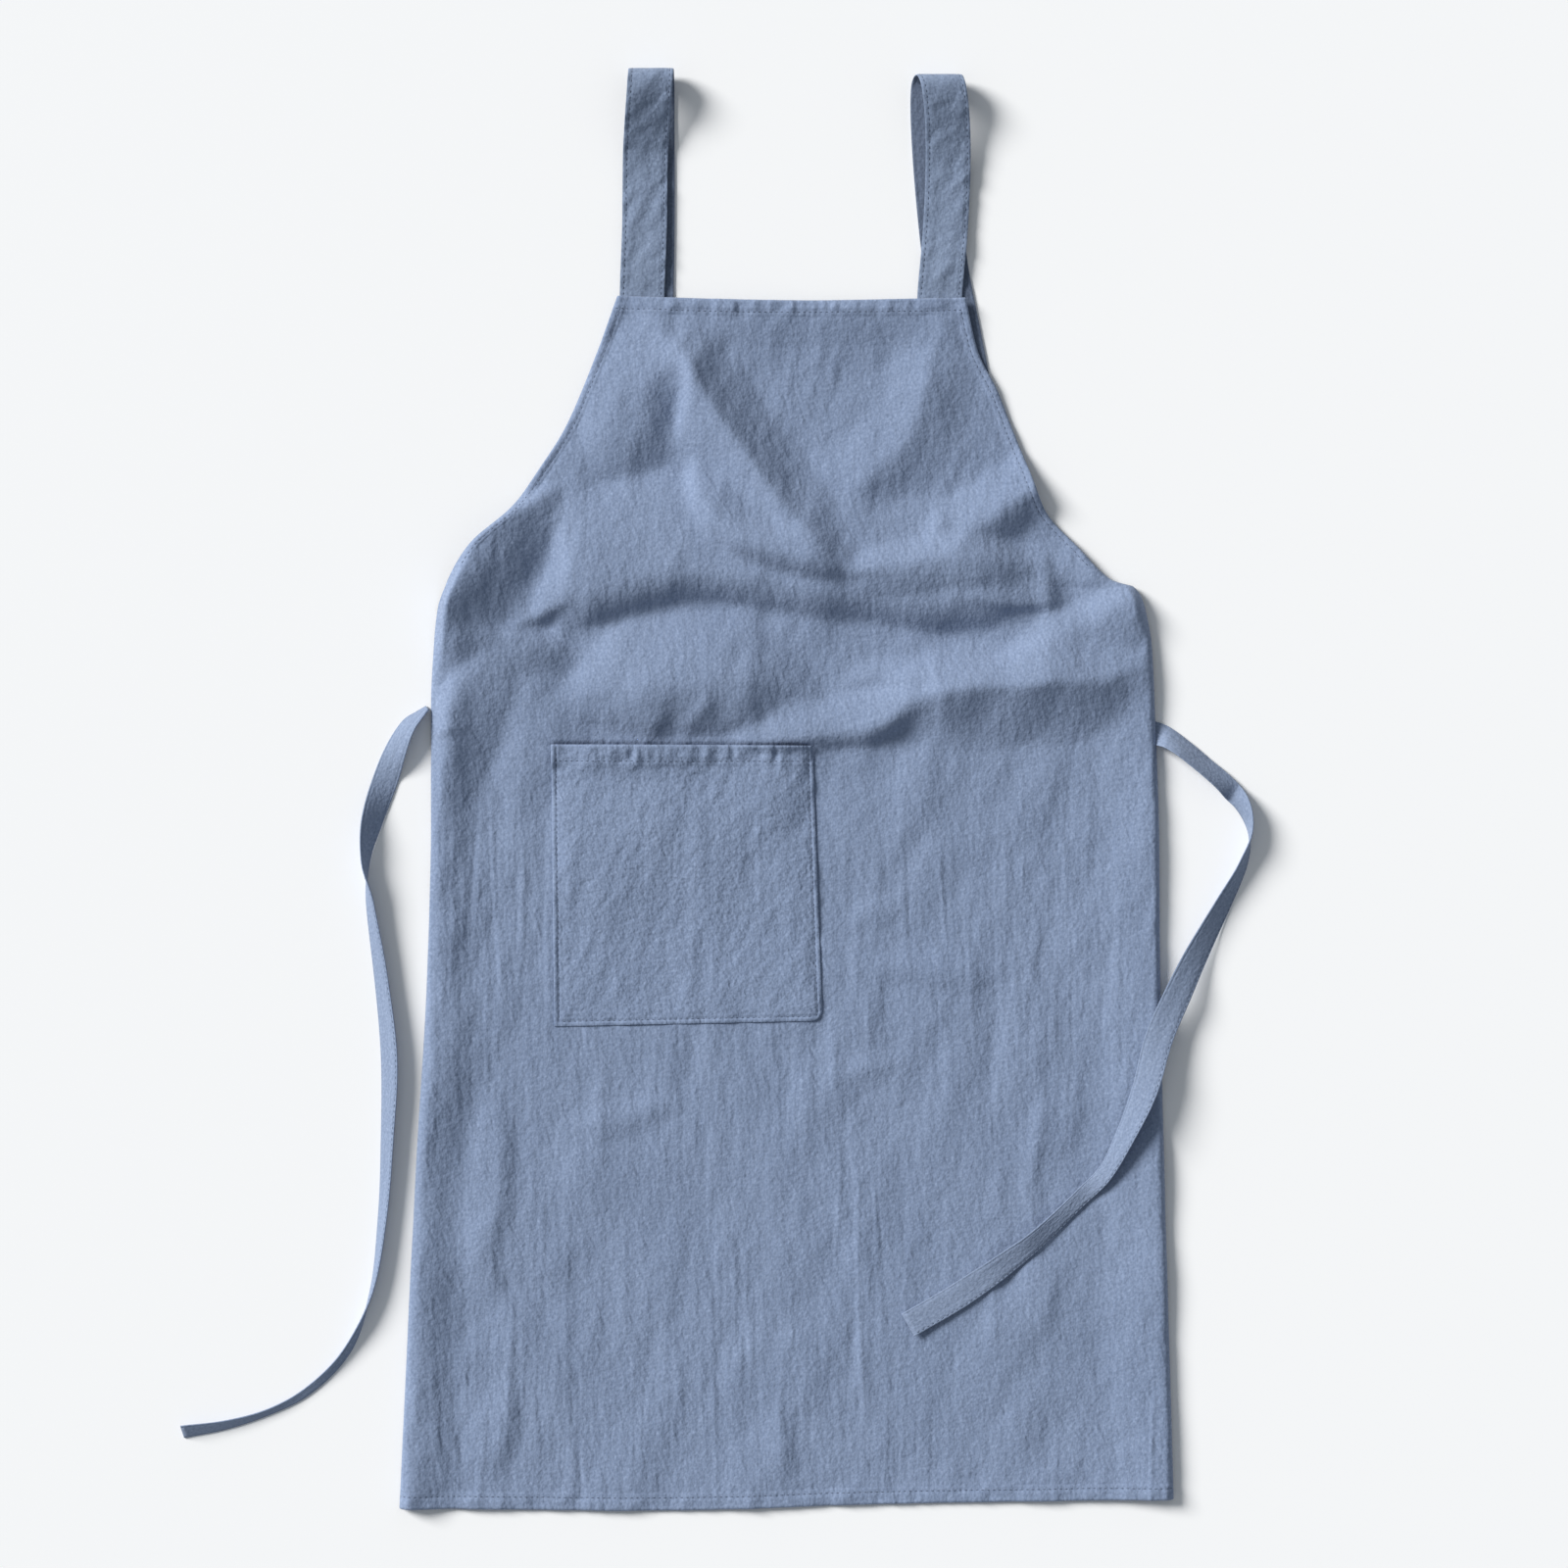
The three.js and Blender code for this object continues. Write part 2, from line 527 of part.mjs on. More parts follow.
function makeTie({ name, route }) {
  const plan = route.map(({ x, y }) => new THREE.Vector3(x, y, 0));
  const curve = new THREE.CatmullRomCurve3(plan, false, 'centripetal');
  const last = route.length - 1;
  const stations = [];
  for (let k = 0; k <= last * TIE_STEPS; k += 1) {
    const place = k / TIE_STEPS;
    const row = Math.min(Math.floor(place), last - 1);
    const read = (column) => mix(route[row][column], route[row + 1][column], place - row);
    const centre = curve.getPoint(place / last);
    const forward = curve.getTangent(place / last);
    const lean = THREE.MathUtils.degToRad(read('lean'));
    const width = read('width');
    const level = Math.cos(lean);
    const flat = (width / 2) * level;
    const support = Math.max(read('lift'), tieSupport(centre.x, centre.y, -forward.y, forward.x, flat));
    centre.z = support + (width / 2) * Math.abs(Math.sin(lean)) + (BAND / 2) * Math.abs(level);
    const across = new THREE.Vector3(-forward.y * level, forward.x * level, Math.sin(lean));
    stations.push({ centre, across, width });
  }
  return named(name, band(stations, BAND), LINEN);
}

const apron = new THREE.Group();
apron.add(makeFrontPanel());
BACK_PANELS.forEach((panel) => apron.add(makeBackPanel(panel)));
apron.add(makePocket());
STRAPS.forEach((strap) => apron.add(makeStrap(strap)));
TIES.forEach((tie) => apron.add(makeTie(tie)));

export default apron;
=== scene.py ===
import bpy
import numpy as np
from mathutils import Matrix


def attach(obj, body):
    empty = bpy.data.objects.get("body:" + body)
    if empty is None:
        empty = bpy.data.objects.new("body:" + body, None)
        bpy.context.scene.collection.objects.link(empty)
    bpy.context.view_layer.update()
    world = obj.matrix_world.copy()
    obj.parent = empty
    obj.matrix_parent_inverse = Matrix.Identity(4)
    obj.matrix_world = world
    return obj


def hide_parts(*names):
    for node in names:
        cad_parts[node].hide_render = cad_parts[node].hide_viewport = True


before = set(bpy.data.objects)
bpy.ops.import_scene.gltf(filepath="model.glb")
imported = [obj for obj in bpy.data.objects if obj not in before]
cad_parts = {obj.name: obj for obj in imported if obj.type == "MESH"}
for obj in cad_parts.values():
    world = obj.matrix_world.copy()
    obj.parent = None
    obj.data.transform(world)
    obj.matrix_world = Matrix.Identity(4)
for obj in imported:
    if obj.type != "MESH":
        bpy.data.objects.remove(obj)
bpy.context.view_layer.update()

# The stage: a pale floor just under the cloth, seen from straight above.
# One soft lamp stands at the upper left, and an even pale sky fills the shadows.
# The camera frames a square of floor 1.12 metres wide.
FLOOR_LEVEL = -0.0003
FLOOR_SIZE = 60.0
FLOOR_COLOUR = (0.95, 0.955, 0.965, 1.0)
FLOOR_ROUGHNESS = 0.9
VIEW_WIDTH = 1.12
VIEW_CENTRE = (-0.0018, 0.0042)
LENS = 85.0
SENSOR = 36.0
LAMP_AZIMUTH = np.radians(150.0)
LAMP_ELEVATION = np.radians(29.0)
LAMP_DISTANCE = 3.2
LAMP_ANGLE = np.radians(24.0)
LAMP_COLOUR = (1.0, 0.985, 0.96)
LAMP_POWER = 4.5
SKY_COLOUR = (0.86, 0.93, 1.0, 1.0)
SKY_STRENGTH = 0.30

floor_mesh = bpy.data.meshes.new("floor")
floor_corner = FLOOR_SIZE / 2
floor_mesh.from_pydata(
    [(-floor_corner, -floor_corner, FLOOR_LEVEL), (floor_corner, -floor_corner, FLOOR_LEVEL),
     (floor_corner, floor_corner, FLOOR_LEVEL), (-floor_corner, floor_corner, FLOOR_LEVEL)],
    [], [(0, 1, 2, 3)])
floor = bpy.data.objects.new("floor", floor_mesh)
bpy.context.scene.collection.objects.link(floor)
floor_paint = bpy.data.materials.new("pale_floor")
floor_paint.use_nodes = True
floor_paint.node_tree.nodes["Principled BSDF"].inputs["Base Color"].default_value = FLOOR_COLOUR
floor_paint.node_tree.nodes["Principled BSDF"].inputs["Roughness"].default_value = FLOOR_ROUGHNESS
floor_mesh.materials.append(floor_paint)

camera_lens = bpy.data.cameras.new("camera")
camera_lens.lens = LENS
camera_lens.sensor_width = SENSOR
camera = bpy.data.objects.new("camera", camera_lens)
camera.location = (*VIEW_CENTRE, VIEW_WIDTH * LENS / SENSOR)
bpy.context.scene.collection.objects.link(camera)
bpy.context.scene.camera = camera
bpy.context.scene.view_settings.view_transform = "Standard"

lamp_light = bpy.data.lights.new("soft_lamp", "SUN")
lamp_light.angle = LAMP_ANGLE
lamp_light.energy = LAMP_POWER
lamp_light.color = LAMP_COLOUR
lamp = bpy.data.objects.new("soft_lamp", lamp_light)
lamp.location = (LAMP_DISTANCE * np.cos(LAMP_ELEVATION) * np.cos(LAMP_AZIMUTH),
                 LAMP_DISTANCE * np.cos(LAMP_ELEVATION) * np.sin(LAMP_AZIMUTH),
                 LAMP_DISTANCE * np.sin(LAMP_ELEVATION))
lamp.rotation_euler = (np.pi / 2 - LAMP_ELEVATION, 0.0, LAMP_AZIMUTH + np.pi / 2)
bpy.context.scene.collection.objects.link(lamp)

sky = bpy.data.worlds.new("pale_sky")
sky.use_nodes = True
sky.node_tree.nodes["Background"].inputs["Color"].default_value = SKY_COLOUR
sky.node_tree.nodes["Background"].inputs["Strength"].default_value = SKY_STRENGTH
bpy.context.scene.world = sky

# The two back panels: plain single layers of washed cotton-linen cloth, lying flat on the floor.
# Each runs from its side fold in to a hemmed inner edge, and carries a strap at its top corner.
# Columns of the body's outline, to which the front is cut too: height, left edge, right edge.
BODY_OUTLINE = np.array([
    (-0.510, -0.2765, 0.2765),
    (-0.416, -0.2720, 0.2740),
    (-0.276, -0.2650, 0.2700),
    (-0.136, -0.2570, 0.2670),
    (-0.024, -0.2540, 0.2660),
    (0.060, -0.2540, 0.2630),
    (0.102, -0.2520, 0.2610),
    (0.130, -0.2490, 0.2560),
    (0.138, -0.2464, 0.2530),
    (0.145, -0.2432, 0.2475),
    (0.1485, -0.2417, 0.2340),
    (0.172, -0.2270, 0.2090),
    (0.200, -0.1970, 0.1840),
    (0.228, -0.1770, 0.1730),
    (0.256, -0.1590, 0.1620),
    (0.284, -0.1460, 0.1510),
    (0.312, -0.1350, 0.1370),
    (0.350, -0.1210, 0.1280),
])
CLOTH = 0.0008
BACK_THICKNESS = 0.0011
BACK_INSET = 0.001
BACK_UNDERARM = 0.126
BACK_INNER_TOP = 0.092
BACK_HEM_WIDTH = 0.010
BACK_HEM_STEP = 0.001
BACK_ROWS = 90
BACK_COLUMNS = 40


def smooth_step(start, stop, at):
    """0 before start, 1 after stop, and 3t^2 - 2t^3 between them."""
    t = np.clip((at - start) / (stop - start), 0.0, 1.0)
    return t * t * (3.0 - 2.0 * t)


def read_table(places, values, at):
    """Cubic curve through a table's rows; a row's slope is the harmonic mean of the slopes beside it."""
    places = np.asarray(places)
    values = np.asarray(values)
    secant = np.diff(values) / np.diff(places)
    before = np.concatenate((secant[:1], secant))
    after = np.concatenate((secant, secant[-1:]))
    agree = before * after > 0.0
    slope = np.where(agree, 2.0 * before * after / np.where(agree, before + after, 1.0), 0.0)
    held = np.clip(at, places[0], places[-1])
    row = np.clip(np.searchsorted(places, held, side="right") - 1, 0, len(places) - 2)
    span = places[row + 1] - places[row]
    t = (held - places[row]) / span
    rise = (values[row + 1] - values[row]) * t * t * (3.0 - 2.0 * t)
    bend = span * t * (1.0 - t) * (slope[row] * (1.0 - t) - slope[row + 1] * t)
    return values[row] + rise + bend


def left_edge(y):
    """Left edge of the body at a height, read from the outline."""
    return read_table(BODY_OUTLINE[:, 0], BODY_OUTLINE[:, 1], y)


def right_edge(y):
    """Right edge of the body at a height, read from the outline."""
    return read_table(BODY_OUTLINE[:, 0], BODY_OUTLINE[:, 2], y)


def grid_normals(middle):
    """Unit normals of a grid of points: across its columns times along its rows."""
    normal = np.cross(np.gradient(middle, axis=1), np.gradient(middle, axis=0))
    return normal / np.linalg.norm(normal, axis=2, keepdims=True)


def cloth_wall(name, middle, thickness, flat, material, inside=None):
    """A closed sheet: a grid of middle points moved half a thickness both ways along its normals,
    with a strip of faces round the rim. flat is each point's place on the cloth before it was laid.
    The lower side may have a material of its own, named inside; the straps use it for a darker copy of
    their linen, which is painted shade."""
    rows, columns = middle.shape[:2]
    half = 0.5 * np.broadcast_to(thickness, (rows, columns))[..., None] * grid_normals(middle)
    points = np.concatenate(((middle + half).reshape(-1, 3), (middle - half).reshape(-1, 3)))
    count = rows * columns
    number = np.arange(count).reshape(rows, columns)
    corners = (number[:-1, :-1], number[:-1, 1:], number[1:, 1:], number[1:, :-1])
    upper = np.stack(corners, axis=-1).reshape(-1, 4)
    rim = np.concatenate((number[0, :-1], number[:-1, -1], number[-1, :0:-1], number[:0:-1, 0]))
    beyond = np.roll(rim, -1)
    side = np.stack((rim + count, beyond + count, beyond, rim), axis=-1)
    faces = np.concatenate((upper, upper[:, ::-1] + count, side))
    mesh = bpy.data.meshes.new(name)
    mesh.from_pydata(points.tolist(), [], faces.tolist())
    weave_map = mesh.uv_layers.new(name="cloth")
    places = np.concatenate((flat.reshape(-1, 2), flat.reshape(-1, 2)))
    weave_map.data.foreach_set("uv", places[faces.ravel()].ravel())
    mesh.shade_smooth()
    mesh.materials.append(material)
    if inside is not None:
        mesh.materials.append(inside)
        counts = (len(upper), len(upper), len(side))
        mesh.polygons.foreach_set("material_index", np.repeat((0, 1, 0), counts))
    piece = bpy.data.objects.new(name, mesh)
    bpy.context.scene.collection.objects.link(piece)
    return piece


def new_node(tree, kind, **settings):
    """Adds a shader node and sets its plain properties."""
    node = tree.nodes.new(kind)
    for key, value in settings.items():
        setattr(node, key, value)
    return node


# Columns of a noise of the linen: waves to the metre across and along the warp, detail, distortion.
LINEN_NOISES = {
    "grain": (520.0, 470.0, 1.0, 0.0),
    "fleck": (420.0, 330.0, 1.0, 0.0),
    "thread": (330.0, 14.0, 2.0, 0.0),
    "fade": (14.0, 11.0, 3.0, 0.0),
    "bubble": (390.0, 330.0, 1.0, 0.0),
    "ripple": (66.0, 11.0, 1.0, 0.35),
    "streak": (170.0, 22.0, 1.0, 0.2),
    "calm": (6.0, 4.0, 1.0, 0.0),
    "crease": (38.0, 2.6, 0.0, 0.2),
    "patch": (12.0, 7.0, 1.0, 0.0),
}
CRINKLE_NOISE = (85.0, 150.0, 1.0, 0.3)
FLECK_SHOWS = (0.60, 0.80)
CALM_SHOWS = (0.36, 0.62)
CREASE_SHOWS = (0.10, 0.0)
PATCH_SHOWS = (0.45, 0.65)
SKIRT_STARTS = (0.04, -0.06)
SHADE_GRAIN = 1.25
SHADE_FLECK = 0.45
SHADE_THREAD = 0.35
SHADE_FADE = 0.4
STREAK_SHARE = 0.30
BIB_WAVES = 0.4
LEAST_WAVES = 0.25
MORE_WAVES = 0.8


def make_linen_group():
    """Washed linen as a shade and a height, both about 0.5. The shade holds the grain of the weave, pale
    flecks, long threads and slow fading. The height holds the grain, soft crinkles turned to one direction,
    waves along the warp that come and go in patches, and thin creases on the skirt, which follow the middle
    value of a long noise."""
    group = bpy.data.node_groups.new("washed_linen", "ShaderNodeTree")
    group.interface.new_socket("Cloth", in_out="INPUT", socket_type="NodeSocketVector")
    for label in ("Crinkle Turn", "Fineness", "Crinkle", "Grain", "Ripple", "Crease"):
        group.interface.new_socket(label, in_out="INPUT", socket_type="NodeSocketFloat")
    for label in ("Shade", "Height"):
        group.interface.new_socket(label, in_out="OUTPUT", socket_type="NodeSocketFloat")
    link = group.links.new
    entry = new_node(group, "NodeGroupInput")

    def stretched_noise(vector, across, along, detail, distortion):
        """Noise on the cloth's own coordinates, stretched by a scale for each direction."""
        mapping = new_node(group, "ShaderNodeMapping")
        mapping.inputs["Scale"].default_value = (across, along, 1.0)
        link(vector, mapping.inputs["Vector"])
        noise = new_node(group, "ShaderNodeTexNoise", noise_dimensions="2D")
        noise.inputs["Scale"].default_value = 1.0
        noise.inputs["Detail"].default_value = detail
        noise.inputs["Distortion"].default_value = distortion
        link(mapping.outputs["Vector"], noise.inputs["Vector"])
        return noise.outputs["Fac"]

    def combine(operation, first, second):
        """A math node on two values, each a socket or a number."""
        node = new_node(group, "ShaderNodeMath", operation=operation)
        for socket, value in zip(node.inputs, (first, second)):
            if isinstance(value, float):
                socket.default_value = value
            else:
                link(value, socket)
        return node.outputs[0]

    def weigh(value, weight):
        """A noise about 0.5, made a swing about 0 and weighed."""
        return combine("MULTIPLY", combine("SUBTRACT", value, 0.5), weight)

    def add_up(start, *values):
        """The sum of a start and several values."""
        total = start
        for value in values:
            total = combine("ADD", value, total)
        return total

    def ramp(value, start, stop):
        """0 at start and 1 at stop, with a smooth step between them."""
        node = new_node(group, "ShaderNodeMapRange", interpolation_type="SMOOTHSTEP")
        node.inputs["From Min"].default_value = start
        node.inputs["From Max"].default_value = stop
        link(value, node.inputs["Value"])
        return node.outputs["Result"]

    cloth = entry.outputs["Cloth"]
    noises = {name: stretched_noise(cloth, *columns) for name, columns in LINEN_NOISES.items()}
    turned = new_node(group, "ShaderNodeVectorRotate", rotation_type="Z_AXIS")
    link(cloth, turned.inputs["Vector"])
    link(entry.outputs["Crinkle Turn"], turned.inputs["Angle"])
    finer = new_node(group, "ShaderNodeVectorMath", operation="SCALE")
    link(turned.outputs["Vector"], finer.inputs["Vector"])
    link(entry.outputs["Fineness"], finer.inputs["Scale"])
    crinkle = stretched_noise(finer.outputs["Vector"], *CRINKLE_NOISE)
    parts = new_node(group, "ShaderNodeSeparateXYZ")
    link(cloth, parts.inputs["Vector"])
    skirt = ramp(parts.outputs["Y"], *SKIRT_STARTS)
    beside = combine("ABSOLUTE", combine("SUBTRACT", noises["crease"], 0.5), 0.0)
    in_patches = combine("MULTIPLY", ramp(beside, *CREASE_SHOWS), ramp(noises["patch"], *PATCH_SHOWS))
    crease = combine("MULTIPLY", in_patches, skirt)
    on_skirt = add_up(BIB_WAVES, combine("MULTIPLY", skirt, 1.0 - BIB_WAVES))
    stirred = add_up(LEAST_WAVES, combine("MULTIPLY", ramp(noises["calm"], *CALM_SHOWS), MORE_WAVES))
    waves = add_up(0.0, weigh(noises["ripple"], 1.0), weigh(noises["streak"], STREAK_SHARE))
    warp_waves = combine("MULTIPLY", waves, combine("MULTIPLY", on_skirt, stirred))
    shade = add_up(0.5, weigh(noises["grain"], SHADE_GRAIN),
                   combine("MULTIPLY", ramp(noises["fleck"], *FLECK_SHOWS), SHADE_FLECK),
                   weigh(noises["thread"], SHADE_THREAD), weigh(noises["fade"], SHADE_FADE))
    height = add_up(0.5, weigh(crinkle, entry.outputs["Crinkle"]),
                    weigh(noises["bubble"], entry.outputs["Grain"]),
                    combine("MULTIPLY", warp_waves, entry.outputs["Ripple"]),
                    combine("MULTIPLY", crease, entry.outputs["Crease"]))
    leave = new_node(group, "NodeGroupOutput")
    link(shade, leave.inputs["Shade"])
    link(height, leave.inputs["Height"])
    return group


linen_group = make_linen_group()
LINEN_BUMP = 0.0009
LINEN_SHEEN = 0.12
LINEN_SHEEN_ROUGHNESS = 0.6
LINEN_SPECULAR = 0.25
LINEN_ROUGHNESS = (0.96, 0.84)
MIX_COLOURS = (6, 7)
MIX_RESULT = 2


def dye_between(tree, dark, light, share):
    """Two dyes mixed by a share from 0 to 1, as the socket of the mixed colour."""
    dye = new_node(tree, "ShaderNodeMix", data_type="RGBA")
    for place, colour in zip(MIX_COLOURS, (dark, light)):
        dye.inputs[place].default_value = (*colour, 1.0)
    tree.links.new(share, dye.inputs["Factor"])
    return dye.outputs[MIX_RESULT]


def linen(name, dark, light, crinkle_turn, crinkle, grain=0.42, ripple=1.9, crease=0.45, fineness=1.0):
    """Washed linen cloth: the group's shade runs between two dyes, and its height is the bump."""
    cloth = bpy.data.materials.new(name)
    cloth.use_nodes = True
    tree = cloth.node_tree
    shader = tree.nodes["Principled BSDF"]
    shader.inputs["Sheen Weight"].default_value = LINEN_SHEEN
    shader.inputs["Sheen Roughness"].default_value = LINEN_SHEEN_ROUGHNESS
    shader.inputs["Specular IOR Level"].default_value = LINEN_SPECULAR
    place = new_node(tree, "ShaderNodeUVMap", uv_map="cloth")
    weave = new_node(tree, "ShaderNodeGroup", node_tree=linen_group)
    for label, value in (("Crinkle Turn", crinkle_turn), ("Fineness", fineness), ("Crinkle", crinkle),
                         ("Grain", grain), ("Ripple", ripple), ("Crease", crease)):
        weave.inputs[label].default_value = value
    nap = new_node(tree, "ShaderNodeMapRange")
    nap.inputs["To Min"].default_value, nap.inputs["To Max"].default_value = LINEN_ROUGHNESS
    bump = new_node(tree, "ShaderNodeBump")
    bump.inputs["Strength"].default_value = 1.0
    bump.inputs["Distance"].default_value = LINEN_BUMP
    shade = weave.outputs["Shade"]
    tree.links.new(place.outputs["UV"], weave.inputs["Cloth"])
    tree.links.new(shade, nap.inputs["Value"])
    tree.links.new(weave.outputs["Height"], bump.inputs["Height"])
    tree.links.new(dye_between(tree, dark, light, shade), shader.inputs["Base Color"])
    tree.links.new(nap.outputs["Result"], shader.inputs["Roughness"])
    tree.links.new(bump.outputs["Normal"], shader.inputs["Normal"])
    return cloth


back_linen = linen("back_linen", (0.145, 0.190, 0.290), (0.215, 0.275, 0.395), 1.35, 0.30)


def back_panel(name, outer_edge, outer_inset, inner_x, hem_y):
    """A flat four-sided grid from the inner edge to the side fold, its top edge slanting up to the fold,
    with its hems a little thicker than the rest."""
    across = np.linspace(0.0, 1.0, BACK_COLUMNS)[None, :]
    up = np.linspace(0.0, 1.0, BACK_ROWS)[:, None]
    top = BACK_INNER_TOP + (BACK_UNDERARM - BACK_INNER_TOP) * across
    y = hem_y + (top - hem_y) * up
    x = inner_x + (outer_edge(y) + outer_inset - inner_x) * across
    to_inner = np.abs(x - inner_x)
    to_hem = np.minimum(y - hem_y, top - y)
    to_edge = np.minimum(to_inner, to_hem)
    hem = 1.0 - smooth_step(BACK_HEM_WIDTH - BACK_HEM_STEP, BACK_HEM_WIDTH, to_edge)
    thickness = CLOTH + (BACK_THICKNESS - CLOTH) * hem
    middle = np.stack((x, y, thickness / 2), axis=-1)
    if inner_x > 0:
        return cloth_wall(name, middle, thickness, middle[..., :2], back_linen)
    turned = middle[:, ::-1]
    return cloth_wall(name, turned, thickness[:, ::-1], turned[..., :2], back_linen)


# Columns: outer edge, how far from it the panel ends, inner edge, hem.
BACK_PANELS = {
    "left": (left_edge, BACK_INSET, -0.086, -0.506),
    "right": (right_edge, -BACK_INSET, 0.112, -0.500),
}
for side, (outer_edge, outer_inset, inner_x, panel_hem) in BACK_PANELS.items():
    panel = back_panel(f"back_panel_{side}_cloth", outer_edge, outer_inset, inner_x, panel_hem)
    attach(panel, "root")
    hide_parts(f"back_panel_{side}")
    panel_width = abs(outer_edge(panel_hem) - inner_x)

# The front: one sheet with its bib, hemmed at the bib, the armholes and the bottom.
# It is turned back softly along both sides, and lies in the folds that it was put down in.
REST_LEVEL = 0.0026
BIB_LEVEL = 0.0045
BIB_RISE = (0.313, 0.336)
SEAM_LEVEL = 0.00155
ROLL_TOP = 0.008
ROLL_RADIUS_LEFT = 0.0084
ROLL_RADIUS_RIGHT = 0.0048
ROLL_WIDTH_LEFT = 0.038
ROLL_WIDTH_RIGHT = 0.052
ROLL_END = (0.128, 0.178)
FOLD_CLEAR = (0.0, 0.008)
EDGE_BACK = 0.0006
HEM_DIP = np.array([(0.0, -0.0024), (0.33, -0.0040), (0.62, 0.0006), (1.0, 0.0044)])
BIB_DIP = np.array([(0.0, 0.0020), (0.5, -0.0015), (1.0, 0.0007)])
EDGE_SHARE = 8
# Columns of a fold: name, height, widths of its lit and shaded sides, powers that round its crest and foot,
# shares of its length where the ends die out, and a path along the crest with the lit side on the left.
FOLDS = [
    ("waist", 0.014, 0.073, 0.024, 2, 1, (0.16, 0.2),
     [(-0.168, 0.119), (-0.149, 0.133), (-0.129, 0.143), (-0.103, 0.151), (-0.072, 0.156),
      (-0.030, 0.156), (0.019, 0.149), (0.068, 0.140), (0.109, 0.134), (0.145, 0.132),
      (0.182, 0.142)]),
    ("waist_end", 0.011, 0.013, 0.052, 1, 1.5, (0.4, 0.42),
     [(-0.168, 0.101), (-0.160, 0.129), (-0.152, 0.158), (-0.150, 0.185), (-0.156, 0.209)]),
    ("above_pocket", 0.015, 0.049, 0.034, 1.5, 1, (0.35, 0.35),
     [(-0.170, 0.056), (-0.114, 0.071), (-0.072, 0.076), (-0.030, 0.074), (0.019, 0.063)]),
    ("pocket_tongue", 0.008, 0.031, 0.011, 1.5, 1, (0.3, 0.08),
     [(-0.045, 0.038), (-0.009, 0.036), (0.033, 0.038), (0.065, 0.042), (0.086, 0.050),
      (0.098, 0.066)]),
    ("right_roll", 0.019, 0.036, 0.043, 1.3, 1.5, (0.09, 0.5),
     [(0.089, 0.063), (0.138, 0.071), (0.173, 0.074), (0.208, 0.078), (0.240, 0.085),
      (0.266, 0.094)]),
    ("armhole_wedge", 0.011, 0.031, 0.020, 1.2, 1, (0.06, 0.02),
     [(0.119, 0.174), (0.131, 0.183), (0.152, 0.196), (0.173, 0.211), (0.208, 0.237)]),
    ("bib_left", 0.02, 0.056, 0.036, 1, 1.4, (0.24, 0.3),
     [(0.044, 0.147), (0.015, 0.185), (-0.014, 0.220), (-0.052, 0.269), (-0.076, 0.311),
      (-0.100, 0.340)]),
    ("strap_ridge", 0.01, 0.042, 0.032, 1.5, 1, (0.4, 0.4),
     [(-0.108, 0.224), (-0.105, 0.272), (-0.101, 0.321)]),
    ("bib_right", 0.0085, 0.039, 0.038, 1.3, 1.5, (0.15, 0.25),
     [(0.035, 0.209), (0.063, 0.225), (0.084, 0.242), (0.095, 0.267), (0.100, 0.295),
      (0.109, 0.347)]),
    ("left_underarm", 0.022, 0.011, 0.064, 1.5, 1, (0.25, 0.42),
     [(-0.252, 0.133), (-0.243, 0.153), (-0.223, 0.174), (-0.205, 0.188), (-0.187, 0.202)]),
    ("hip_line", 0.008, 0.015, 0.028, 1.5, 1, (0.2, 0.5),
     [(-0.252, 0.111), (-0.212, 0.111), (-0.170, 0.105), (-0.107, 0.092)]),
    ("left_hip", 0.008, 0.013, 0.041, 1.5, 1, (0.4, 0.3),
     [(-0.248, -0.017), (-0.241, 0.043), (-0.230, 0.078), (-0.205, 0.116)]),
    ("left_hip_side", 0.004, 0.042, 0.035, 2, 2, (0.4, 0.4),
     [(-0.191, -0.024), (-0.175, 0.046), (-0.161, 0.109)]),
]
